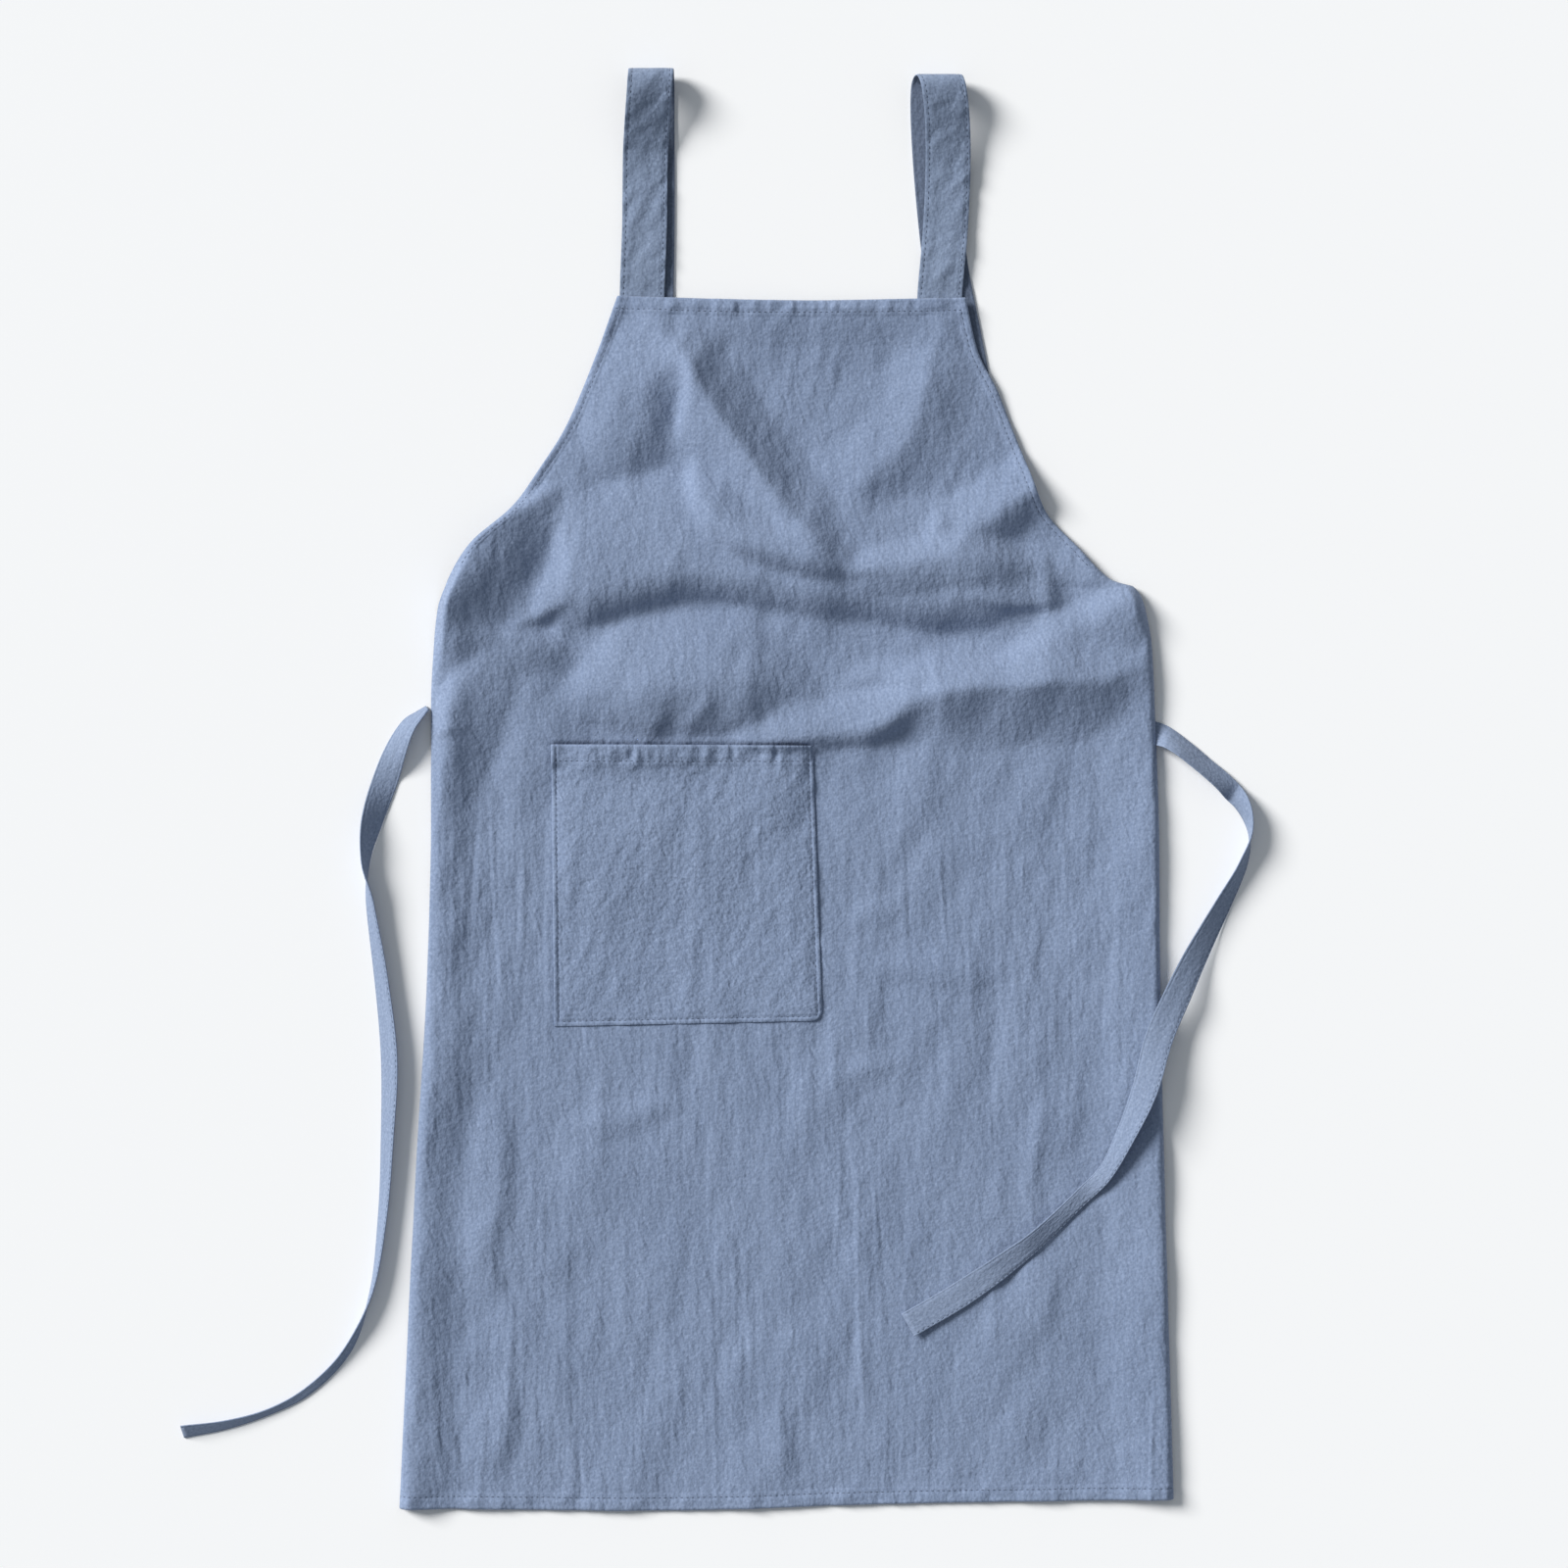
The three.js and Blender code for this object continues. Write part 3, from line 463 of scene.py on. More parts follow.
CREASES = [
    ("strap_dent", -0.008, 0.022, 0.006, 1, 1.3, (0.6, 0.3),
     [(-0.083, 0.245), (-0.079, 0.273), (-0.073, 0.311)]),
    ("underarm_dent", -0.006, 0.045, 0.007, 1, 1.3, (0.45, 0.35),
     [(-0.178, 0.130), (-0.171, 0.151), (-0.167, 0.178), (-0.184, 0.202)]),
    ("upper_right", 0.008, 0.017, 0.025, 1.4, 1, (0.25, 0.25),
     [(0.046, 0.153), (0.072, 0.160), (0.103, 0.165), (0.138, 0.167), (0.180, 0.164)]),
    ("bib_left_crease", 0.011, 0.024, 0.013, 1.6, 1, (0.25, 0.3),
     [(-0.069, 0.235), (-0.061, 0.206), (-0.042, 0.186), (-0.009, 0.172), (0.033, 0.160),
      (0.072, 0.153)]),
    ("bib_left_nick", 0.004, 0.010, 0.015, 1, 2, (0.45, 0.45),
     [(-0.066, 0.192), (-0.070, 0.217), (-0.070, 0.244)]),
    ("right_turn", 0.004, 0.009, 0.013, 1, 1.5, (0.4, 0.4),
     [(0.186, 0.106), (0.182, 0.144), (0.177, 0.186)]),
    ("pinch", 0.003, 0.006, 0.004, 1, 1, (0.2, 0.5),
     [(-0.251, 0.041), (-0.243, 0.043), (-0.233, 0.045)]),
    ("right_bump", 0.007, 0.017, 0.036, 1.4, 1.4, (0.4, 0.15),
     [(0.128, 0.081), (0.173, 0.099), (0.215, 0.120), (0.254, 0.140)]),
    ("tongue_end", 0.0045, 0.025, 0.011, 1.3, 1, (0.4, 0.3),
     [(0.065, 0.031), (0.075, 0.049), (0.092, 0.073)]),
    ("tongue_top", 0.003, 0.014, 0.008, 1.5, 1, (0.35, 0.35),
     [(0.037, 0.074), (0.061, 0.078), (0.089, 0.080), (0.116, 0.076)]),
    ("pocket_rib", 0.003, 0.020, 0.027, 1.5, 2, (0.45, 0.45),
     [(-0.030, 0.032), (-0.026, 0.064), (-0.021, 0.095)]),
    ("pocket_streak", 0.003, 0.010, 0.011, 1, 1.5, (0.45, 0.45),
     [(-0.084, 0.027), (-0.065, 0.052), (-0.045, 0.074)]),
    ("pocket_streak_low", 0.002, 0.008, 0.008, 1, 1.5, (0.45, 0.45),
     [(-0.108, 0.028), (-0.096, 0.050), (-0.082, 0.071)]),
    ("armhole_spot", 0.0035, 0.007, 0.014, 1, 1.5, (0.45, 0.45),
     [(0.105, 0.172), (0.109, 0.190), (0.113, 0.209)]),
    ("bib_line", 0.0013, 0.005, 0.006, 1, 1.5, (0.4, 0.4),
     [(0.107, 0.200), (0.121, 0.232), (0.135, 0.263)]),
    ("bib_top", 0.004, 0.007, 0.052, 1.5, 1.5, (0.3, 0.3),
     [(-0.079, 0.350), (-0.030, 0.348), (0.026, 0.346), (0.093, 0.346)]),
    ("skirt_left", 0.0033, 0.022, 0.012, 1.5, 1.5, (0.3, 0.35),
     [(-0.194, -0.388), (-0.212, -0.325), (-0.204, -0.262), (-0.210, -0.193)]),
    ("skirt_left_low", 0.0028, 0.028, 0.011, 1.5, 1.5, (0.4, 0.4),
     [(-0.207, -0.494), (-0.203, -0.458), (-0.195, -0.419)]),
    ("skirt_line", 0.002, 0.006, 0.006, 1.2, 1.5, (0.4, 0.4),
     [(-0.139, -0.286), (-0.133, -0.220), (-0.141, -0.164)]),
    ("skirt_line_low", 0.0015, 0.008, 0.006, 1.2, 1.5, (0.4, 0.4),
     [(-0.156, -0.486), (-0.161, -0.437), (-0.159, -0.381)]),
    ("skirt_middle_top", 0.0021, 0.010, 0.008, 1.3, 1.5, (0.4, 0.4),
     [(0.039, -0.227), (0.037, -0.178), (0.033, -0.125)]),
    ("skirt_middle", 0.0022, 0.005, 0.006, 1.2, 1.5, (0.25, 0.35),
     [(0.056, -0.507), (0.054, -0.395), (0.053, -0.318), (0.046, -0.241)]),
    ("skirt_middle_fork", 0.0019, 0.006, 0.006, 1.2, 1.5, (0.4, 0.4),
     [(0.054, -0.346), (0.046, -0.319), (0.030, -0.286)]),
    ("skirt_low", 0.0026, 0.018, 0.010, 1.4, 1.5, (0.4, 0.45),
     [(-0.000, -0.494), (-0.002, -0.458), (-0.010, -0.419)]),
    ("skirt_right", 0.0024, 0.006, 0.007, 1.2, 1.5, (0.4, 0.4),
     [(0.172, -0.325), (0.180, -0.262), (0.182, -0.181)]),
    ("skirt_right_side", 0.0023, 0.006, 0.006, 1.2, 1.5, (0.4, 0.4),
     [(0.203, -0.269), (0.205, -0.220), (0.208, -0.164)]),
    ("skirt_right_low", 0.0022, 0.006, 0.007, 1.2, 1.5, (0.4, 0.4),
     [(0.149, -0.405), (0.145, -0.374), (0.147, -0.339)]),
    ("skirt_right_low_side", 0.0022, 0.006, 0.007, 1.2, 1.5, (0.4, 0.4),
     [(0.180, -0.402), (0.184, -0.367), (0.189, -0.328)]),
    ("skirt_bump_top", 0.0026, 0.015, 0.015, 1.6, 1.6, (0.5, 0.5),
     [(0.046, -0.094), (0.061, -0.087), (0.079, -0.080)]),
    ("skirt_bump_across", 0.0028, 0.020, 0.017, 1.6, 1.6, (0.4, 0.4),
     [(0.049, -0.125), (0.103, -0.127), (0.159, -0.134)]),
    ("skirt_bump_low", 0.0028, 0.014, 0.017, 1.6, 1.6, (0.5, 0.5),
     [(0.044, -0.204), (0.063, -0.197), (0.089, -0.193)]),
    ("skirt_bump_left", 0.0024, 0.017, 0.014, 1.6, 1.6, (0.4, 0.4),
     [(-0.147, -0.242), (-0.114, -0.235), (-0.072, -0.218)]),
]
FOLD_MERGE = 3.0
FOLD_TAPER = 0.35
WARP = 0.004
# Columns of the two shifts of the folds, across and up: seed, length, width, turn.
WARP_CELLS = ((21, 0.045, 0.045, 0.3), (22, 0.045, 0.045, 0.8))
PATH_STEPS = 16
FIELD_STEP = 0.002
FIELD_LEFT = -0.290
FIELD_RIGHT = 0.290
FIELD_LOW = -0.530
FIELD_HIGH = 0.370
FIELD_SOFTNESS = 0.0021
SOFTEN_REACH = 4
LAST_CELL = 1.001
LATTICE = 64
# Columns of the waves of the whole front: height, seed, length, width, turn.
FRONT_WAVES = (
    (0.0007, 11, 0.070, 0.024, 1.45),
    (0.00045, 12, 0.030, 0.010, 1.5),
    (0.00026, 13, 0.014, 0.006, 1.3),
)
SWELL_HEIGHT = 0.0024
SWELL = (14, 0.062, 0.040, 1.1)
front_linen = linen("front_linen", (0.160, 0.212, 0.328), (0.250, 0.318, 0.465), 1.1, 1.0)


def crumple(x, y, seed, length, width, turn):
    """Random bumps between -1 and 1: lattice values blended by 6t^5 - 15t^4 + 10t^3.
    The lattice cells are length long at the angle turn, and width across it."""
    lattice = np.random.default_rng(seed).uniform(-1.0, 1.0, (LATTICE, LATTICE))
    p = (x * np.cos(turn) + y * np.sin(turn)) / length + LATTICE / 2
    q = (y * np.cos(turn) - x * np.sin(turn)) / width + LATTICE / 2
    i = np.floor(p).astype(int)
    j = np.floor(q).astype(int)
    s, t = (step ** 3 * (step * (6.0 * step - 15.0) + 10.0) for step in (p - i, q - j))
    i, next_i, j, next_j = (place % LATTICE for place in (i, i + 1, j, j + 1))
    near = lattice[i, j] * (1.0 - s) + lattice[next_i, j] * s
    far = lattice[i, next_j] * (1.0 - s) + lattice[next_i, next_j] * s
    return near * (1.0 - t) + far * t


def crest_points(path):
    """Uniform Catmull-Rom curve through a crest's points, with the end points doubled."""
    knots = np.array([path[0], *path, path[-1]])
    place = np.linspace(0.0, len(path) - 1.0, PATH_STEPS + 1)
    k = np.minimum(place.astype(int), len(path) - 2)
    t = (place - k)[:, None]
    before, here, there, after = (knots[k + step] for step in range(4))
    cubic = 3.0 * (here - there) + after - before
    square = 2.0 * before - 5.0 * here + 4.0 * there - after
    return here + 0.5 * t * ((there - before) + t * (square + t * cubic))


def fold_height(fold, x, y):
    """A ridge (1 - r^crest)^foot, where r is the distance to a point of the crest path over the width of
    that side, at its highest over the whole path. Over a share of both ends it sinks and narrows."""
    _, height, lit, shaded, crest, foot, fade, path = fold
    line = crest_points(path)
    ridge = np.zeros(np.shape(x))
    pieces = len(line) - 1
    for k, (start, run) in enumerate(zip(line[:-1], np.diff(line, axis=0))):
        from_x = x - start[0]
        from_y = y - start[1]
        share = np.clip((from_x * run[0] + from_y * run[1]) / (run @ run), 0.0, 1.0)
        along = (k + share) / pieces
        ends = smooth_step(0.0, fade[0], along) * smooth_step(0.0, fade[1], 1.0 - along)
        width = np.where(run[0] * from_y - run[1] * from_x > 0.0, lit, shaded)
        width = width * (FOLD_TAPER + (1.0 - FOLD_TAPER) * ends)
        near = np.minimum(np.hypot(from_x - share * run[0], from_y - share * run[1]) / width, 1.0)
        ridge = np.maximum(ridge, ends * (1.0 - near ** crest) ** foot)
    return height * ridge


def soften(field, softness):
    """Blurs a field with a bell curve along its rows and then along its columns."""
    shifts = np.arange(-SOFTEN_REACH, SOFTEN_REACH + 1)
    bell = np.exp(-0.5 * (shifts * FIELD_STEP / softness) ** 2)
    bell /= bell.sum()
    for axis in (0, 1):
        field = sum(weight * np.roll(field, shift, axis) for weight, shift in zip(bell, shifts))
    return field


def make_fold_field():
    """Height of all folds on an even grid: the cube root of the sum of their cubes, plus the small creases,
    on places that are shifted a little at random, then softened."""
    across = np.arange(FIELD_LEFT, FIELD_RIGHT, FIELD_STEP)
    up = np.arange(FIELD_LOW, FIELD_HIGH, FIELD_STEP)
    x, y = np.meshgrid(across, up)
    shift_x, shift_y = (WARP * crumple(x, y, *cells) for cells in WARP_CELLS)
    shifted_x = x + shift_x
    shifted_y = y + shift_y
    cubes = sum(fold_height(fold, shifted_x, shifted_y) ** FOLD_MERGE for fold in FOLDS)
    merged = cubes ** (1.0 / FOLD_MERGE)
    small = sum(fold_height(crease, shifted_x, shifted_y) for crease in CREASES)
    return soften(merged + small, FIELD_SOFTNESS)


fold_field = make_fold_field()


def read_folds(x, y):
    """Height of the folds at any places, blended from the four nearest points of the grid."""
    rows, columns = fold_field.shape
    p = np.clip((x - FIELD_LEFT) / FIELD_STEP, 0.0, columns - LAST_CELL)
    q = np.clip((y - FIELD_LOW) / FIELD_STEP, 0.0, rows - LAST_CELL)
    i = p.astype(int)
    j = q.astype(int)
    low = fold_field[j, i] * (1.0 - p + i) + fold_field[j, i + 1] * (p - i)
    high = fold_field[j + 1, i] * (1.0 - p + i) + fold_field[j + 1, i + 1] * (p - i)
    return low * (1.0 - q + j) + high * (q - j)


def roll_height(inside, radius, width):
    """A side fold: a quarter round up from the seam, then half a cosine wave down to the rest level."""
    turn = np.clip(1.0 - inside / radius, 0.0, 1.0)
    rise = SEAM_LEVEL + (ROLL_TOP - SEAM_LEVEL) * np.sqrt(1.0 - turn * turn)
    fall = np.clip((inside - radius) / (width - radius), 0.0, 1.0)
    descent = REST_LEVEL + (ROLL_TOP - REST_LEVEL) * 0.5 * (1.0 + np.cos(np.pi * fall))
    return np.where(inside < radius, rise, descent)


def front_middle(x, y):
    """Middle of the front's cloth: the side folds or the open bib, plus every fold, the waves and the
    swells, which are squared bumps and so only rise."""
    inside_left = x - left_edge(y) - EDGE_BACK
    inside_right = right_edge(y) - EDGE_BACK - x
    inside = np.minimum(inside_left, inside_right)
    closed = 1.0 - smooth_step(*ROLL_END, y)
    opened = REST_LEVEL + (BIB_LEVEL - REST_LEVEL) * smooth_step(*BIB_RISE, y)
    rolled = np.where(inside_left < inside_right,
                      roll_height(inside, ROLL_RADIUS_LEFT, ROLL_WIDTH_LEFT),
                      roll_height(inside, ROLL_RADIUS_RIGHT, ROLL_WIDTH_RIGHT))
    folds = read_folds(x, y)
    share = 1.0 + (smooth_step(*FOLD_CLEAR, inside) - 1.0) * closed
    waves = sum(height * crumple(x, y, *columns) for height, *columns in FRONT_WAVES)
    swells = SWELL_HEIGHT * crumple(x, y, *SWELL) ** 2
    return opened + (rolled - opened) * closed + share * folds + (waves + swells)


FRONT_HEM_ROWS = (0.0, 0.0004, 0.001, 0.0018, 0.0028, 0.004, 0.0054, 0.007, 0.0086, 0.010, 0.0112, 0.0126,
                  0.0145, 0.017, 0.020, 0.024)
FRONT_EDGE_COLUMNS = (0.0, 0.0003, 0.0009, 0.0017, 0.0027, 0.0038, 0.005, 0.0062, 0.0075, 0.009, 0.011,
                      0.0135, 0.017, 0.021, 0.026)
SKIRT_TOP = -0.020
SKIRT_ROWS = 108
MOUTH_BELOW_ROWS = 21
MOUTH_ROWS = (0.028, 0.039)
MOUTH_CLOSE_ROWS = 20
TORSO_ROWS = 130
MOUTH_LINE = ((-0.1677, 0.0322), (0.0186, 0.0315))
MOUTH_DIP = 0.0013
MOUTH_DIP_WIDTH = 0.0019
MOUTH_DIP_LEFT = (-0.1700, -0.1660)
MOUTH_DIP_RIGHT = (0.0160, 0.0200)
INNER_COLUMNS = 118
HEM_WIDTH = 0.010
ARMHOLE_HEM_WIDTH = 0.0064
HEM_RISE = 0.0009
HEM_ROUND = 0.0009
HEM_STEP = (-0.0004, 0.0008)
HEM_STITCH_ROW = 0.0086
ARMHOLE_START = (0.150, 0.165)
ARM_STITCH_COLUMN = 0.005
ARM_STITCH_START = 0.158
ARM_STITCH_STOP = 0.004
STITCH_INSET = 0.0014
STITCH_GROOVE = 0.0008
GROOVE_WIDTH = 0.0008
PUCKER = 0.0006
PUCKER_SIZE = 0.0085
PUCKER_TURN = 0.6
PUCKER_REACH = 0.006
HEM_GATHER = 0.0013
GATHER_SPREAD = 0.45
GATHER_PITCH = 0.0038
GATHER_REACH = 0.020
STITCH_PITCH = 0.0040
STITCH_LENGTH = 0.0025
STITCH_RADIUS = 0.00032
STITCH_RISE = 0.00018
STITCH_RINGS = 5
STITCH_SIDES = 6
STITCH_TAPER = 0.45
THREAD_DARK = (0.060, 0.082, 0.135)
THREAD_LIGHT = (0.110, 0.145, 0.225)
THREAD_TWIST = 2600.0
THREAD_BUMP = 0.0001
THREAD_SHEEN = 0.1
THREAD_ROUGHNESS = 0.75


def turned_hem(inside, width, rise=HEM_RISE):
    """Extra height of a turned hem: a low step as wide as the hem, with a groove where it is sewn down."""
    step = smooth_step(0.0, HEM_ROUND, inside) * (1.0 - smooth_step(*HEM_STEP, inside - width))
    groove = np.exp(-((inside - width + STITCH_INSET) / GROOVE_WIDTH) ** 2)
    return rise * step - STITCH_GROOVE * groove


def pucker(x, y, inside, width, seed):
    """Small waves of the cloth beside a line of stitches, strongest on the line."""
    near = np.exp(-((inside - width + STITCH_INSET) / PUCKER_REACH) ** 2)
    return PUCKER * near * crumple(x, y, seed, PUCKER_SIZE, PUCKER_SIZE, PUCKER_TURN)


def gather(along, inside, width, seed):
    """Short waves that lie across a turned hem, highest half way between its fold and its stitches."""
    across = np.exp(-((inside - 0.5 * width) / (GATHER_SPREAD * width)) ** 2)
    return HEM_GATHER * across * crumple(along, inside, seed, GATHER_PITCH, GATHER_REACH, 0.0)


def make_thread():
    """Sewing thread a little darker than the cloth, with the fine turns of its twist as bump."""
    thread = bpy.data.materials.new("seam_thread")
    thread.use_nodes = True
    tree = thread.node_tree
    shader = tree.nodes["Principled BSDF"]
    shader.inputs["Sheen Weight"].default_value = THREAD_SHEEN
    shader.inputs["Roughness"].default_value = THREAD_ROUGHNESS
    place = new_node(tree, "ShaderNodeTexCoord")
    twist = new_node(tree, "ShaderNodeTexNoise")
    twist.inputs["Scale"].default_value = THREAD_TWIST
    bump = new_node(tree, "ShaderNodeBump")
    bump.inputs["Distance"].default_value = THREAD_BUMP
    turns = twist.outputs["Fac"]
    tree.links.new(place.outputs["Object"], twist.inputs["Vector"])
    tree.links.new(turns, bump.inputs["Height"])
    tree.links.new(dye_between(tree, THREAD_DARK, THREAD_LIGHT, turns), shader.inputs["Base Color"])
    tree.links.new(bump.outputs["Normal"], shader.inputs["Normal"])
    return thread


seam_thread = make_thread()


def run_length(points):
    """Distance along a path at each of its points."""
    return np.concatenate(([0.0], np.cumsum(np.linalg.norm(np.diff(points, axis=0), axis=1))))


def stitch_line(points, normals):
    """Stitches along a line on the cloth: each is a thin six-sided thread along a stretch of the line that
    rises by half a sine wave, so that both its ends sink into the cloth."""
    run = run_length(points)
    starts = np.arange(0.5 * STITCH_PITCH, run[-1] - STITCH_PITCH, STITCH_PITCH)
    share = np.linspace(0.0, 1.0, STITCH_RINGS)
    places = starts[:, None] + share * STITCH_LENGTH
    centre = np.stack([np.interp(places, run, points[:, k]) for k in range(3)], axis=-1)
    up = np.stack([np.interp(places, run, normals[:, k]) for k in range(3)], axis=-1)
    forward = (centre[:, -1:] - centre[:, :1]) / STITCH_LENGTH
    side = np.cross(up, forward)
    turn = np.arange(STITCH_SIDES) * 2.0 * np.pi / STITCH_SIDES
    radius = STITCH_RADIUS * (STITCH_TAPER + (1.0 - STITCH_TAPER) * np.sin(np.pi * share))
    lift = STITCH_RISE * (2.0 * np.sin(np.pi * share) - 1.0)
    axis = centre + lift[:, None] * up
    round_up = (radius[:, None] * np.sin(turn))[None, :, :, None] * up[:, :, None, :]
    round_side = (radius[:, None] * np.cos(turn))[None, :, :, None] * side[:, :, None, :]
    return axis[:, :, None, :] + round_up + round_side


def stitches(name, middle, thickness, lines):
    """One piece from many stitches along lines of a sheet's grid, on its upper side: the rings of each
    stitch are joined by quads and closed at both ends."""
    normal = grid_normals(middle)
    face = middle + 0.5 * thickness * normal
    rings = np.concatenate([stitch_line(face[line], normal[line]) for line in lines])
    number = np.arange(rings[..., 0].size).reshape(rings.shape[:3])
    beyond = np.roll(number, -1, axis=2)
    corners = (number[:, :-1], number[:, 1:], beyond[:, 1:], beyond[:, :-1])
    quads = np.stack(corners, axis=-1).reshape(-1, 4)
    caps = np.concatenate((number[:, 0, :], number[:, -1, ::-1]))
    mesh = bpy.data.meshes.new(name)
    mesh.from_pydata(rings.reshape(-1, 3).tolist(), [], quads.tolist() + caps.tolist())
    mesh.shade_smooth()
    mesh.materials.append(seam_thread)
    piece = bpy.data.objects.new(name, mesh)
    bpy.context.scene.collection.objects.link(piece)
    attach(piece, "root")
    return piece


hem_y = BODY_OUTLINE[0, 0]
bib_y = BODY_OUTLINE[-1, 0]
edge_rows = np.array(FRONT_HEM_ROWS)
edge_columns = np.array(FRONT_EDGE_COLUMNS)
front_rows = np.concatenate((
    hem_y + edge_rows,
    np.linspace(hem_y + edge_rows[-1], SKIRT_TOP, SKIRT_ROWS + 1)[1:],
    np.linspace(SKIRT_TOP, MOUTH_ROWS[0], MOUTH_BELOW_ROWS + 1)[1:],
    np.linspace(*MOUTH_ROWS, MOUTH_CLOSE_ROWS + 1)[1:],
    np.linspace(MOUTH_ROWS[1], bib_y - edge_rows[-1], TORSO_ROWS + 1)[1:],
    bib_y - edge_rows[-2::-1]))[:, None]
front_left = left_edge(front_rows) + EDGE_BACK
front_right = right_edge(front_rows) - EDGE_BACK
inner_share = np.linspace(0.0, 1.0, INNER_COLUMNS + 1)[1:-1]
inner_left = front_left + edge_columns[-1]
inner_right = front_right - edge_columns[-1]
front_x = np.concatenate((
    front_left + edge_columns,
    inner_left + (inner_right - inner_left) * inner_share,
    front_right - edge_columns[::-1]), axis=1)
front_y = np.broadcast_to(front_rows, front_x.shape)
up_share = (front_y - hem_y) / (bib_y - hem_y)
across_share = (front_x - front_left) / (front_right - front_left)
hem_dip = read_table(HEM_DIP[:, 0], HEM_DIP[:, 1], across_share) * (1.0 - up_share) ** EDGE_SHARE
bib_dip = read_table(BIB_DIP[:, 0], BIB_DIP[:, 1], across_share) * up_share ** EDGE_SHARE
armhole = smooth_step(*ARMHOLE_START, front_y)
to_side = np.minimum(front_x - front_left, front_right - front_x) + (1.0 - armhole)
front_hem = (turned_hem(front_y - hem_y, HEM_WIDTH) + turned_hem(bib_y - front_y, HEM_WIDTH)
             + turned_hem(to_side, ARMHOLE_HEM_WIDTH))
front_hem = front_hem + (pucker(front_x, front_y, front_y - hem_y, HEM_WIDTH, seed=41)
                         + pucker(front_x, front_y, bib_y - front_y, HEM_WIDTH, seed=42)
                         + pucker(front_x, front_y, to_side, ARMHOLE_HEM_WIDTH, seed=43)
                         + gather(front_x, front_y - hem_y, HEM_WIDTH, seed=48)
                         + gather(front_x, bib_y - front_y, HEM_WIDTH, seed=49))
mouth_y = np.interp(front_x, *zip(*MOUTH_LINE))
mouth_reach = smooth_step(*MOUTH_DIP_LEFT, front_x) * (1.0 - smooth_step(*MOUTH_DIP_RIGHT, front_x))
mouth_dip = MOUTH_DIP * mouth_reach * np.exp(-((front_y - mouth_y) / MOUTH_DIP_WIDTH) ** 2)
front_z = front_middle(front_x, front_y) + front_hem - mouth_dip
front_grid = np.stack((front_x, front_y + hem_dip + bib_dip, front_z), axis=-1)
front_panel = cloth_wall("front_panel_cloth", front_grid, CLOTH, front_grid[..., :2], front_linen)
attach(front_panel, "root")
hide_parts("front_panel")
hem_row = FRONT_HEM_ROWS.index(HEM_STITCH_ROW)
arm_column = FRONT_EDGE_COLUMNS.index(ARM_STITCH_COLUMN)
row_height = front_rows[:, 0]
arm_rows = np.flatnonzero((row_height > ARM_STITCH_START) & (row_height < bib_y - ARM_STITCH_STOP))
front_stitches = stitches("front_panel_stitches", front_grid, CLOTH, [
    np.s_[hem_row], np.s_[-1 - hem_row], np.s_[arm_rows, arm_column], np.s_[arm_rows, -1 - arm_column]])

# The pocket: one patch of the same cloth, sewn to the front on three sides.
# Its mouth has a turned hem and stands a little open.
POCKET_BOTTOM = ((-0.1656, -0.1687), (0.0256, -0.1645))
POCKET_ROUND = 0.008
POCKET_LIFT = 0.00015
POCKET_LOOSE = 0.0003
POCKET_PUFF = 0.004
POCKET_PUFF_ALONG = (0.3, 0.75)
POCKET_SIDE_POWER = 6
POCKET_EDGE = (0.0, 0.0003, 0.0009, 0.0017, 0.0026, 0.0034, 0.0044, 0.0056, 0.0072, 0.0094, 0.0115, 0.0130,
               0.0146, 0.0170)
POCKET_ROWS = 120
POCKET_COLUMNS = 112
POCKET_SIDE_HEM = 0.0048
POCKET_SIDE_RISE = 0.0004
POCKET_MOUTH_HEM = 0.0129
POCKET_MOUTH_ROLL = 0.0045
POCKET_MOUTH_DEPTH = (0.001, 0.028)
POCKET_MOUTH_LEFT = (0.02, 0.2)
POCKET_MOUTH_RIGHT = (0.45, 0.75)
POCKET_MOUTH_PUCKER = 2.0
POCKET_MOUTH_GATHER = 0.85
POCKET_LOOSE_FROM = (0.002, 0.010)
POCKET_SIDE_STITCH = 0.0034
POCKET_MOUTH_STITCH = 0.0115
POCKET_STITCH_STOP = -2
POCKET_CRINKLE = 0.0002
POCKET_CRINKLES = ((46, 0.011, 0.0045, 0.85), (47, 0.034, 0.013, 0.95))
POCKET_CREASE = 0.0005
POCKET_CREASE_X = -0.0196
POCKET_CREASE_WIDTH = 0.0014
POCKET_CREASE_LOW = (-0.090, -0.070)
POCKET_CREASE_HIGH = (-0.020, -0.005)
pocket_linen = linen("pocket_linen", (0.160, 0.212, 0.328), (0.248, 0.316, 0.462), 0.85, 0.9,
                     grain=0.5, ripple=0.5, crease=0.0, fineness=1.7)


def edged_steps(length, steps):
    """Shares from 0 to 1 along a length: close together near both edges, and even between them."""
    edge = np.array(POCKET_EDGE)
    inner = np.linspace(edge[-1], length - edge[-1], steps)[1:-1]
    return np.concatenate((edge, inner, length - edge[::-1])) / length


pocket_corners = np.array((POCKET_BOTTOM, MOUTH_LINE))
pocket_width = pocket_corners[0, 1, 0] - pocket_corners[0, 0, 0]
pocket_length = pocket_corners[1, 0, 1] - pocket_corners[0, 0, 1]
pocket_across, pocket_up = np.meshgrid(
    edged_steps(pocket_width, POCKET_COLUMNS), edged_steps(pocket_length, POCKET_ROWS))
from_left = pocket_across * pocket_width
from_bottom = pocket_up * pocket_length
from_mouth = pocket_length - from_bottom
near_right = np.clip(1.0 - (pocket_width - from_left) / POCKET_ROUND, 0.0, 1.0)
near_bottom = np.clip(1.0 - from_bottom / POCKET_ROUND, 0.0, 1.0)
pull_left = POCKET_ROUND * near_right * (1.0 - np.sqrt(1.0 - 0.5 * near_bottom ** 2))
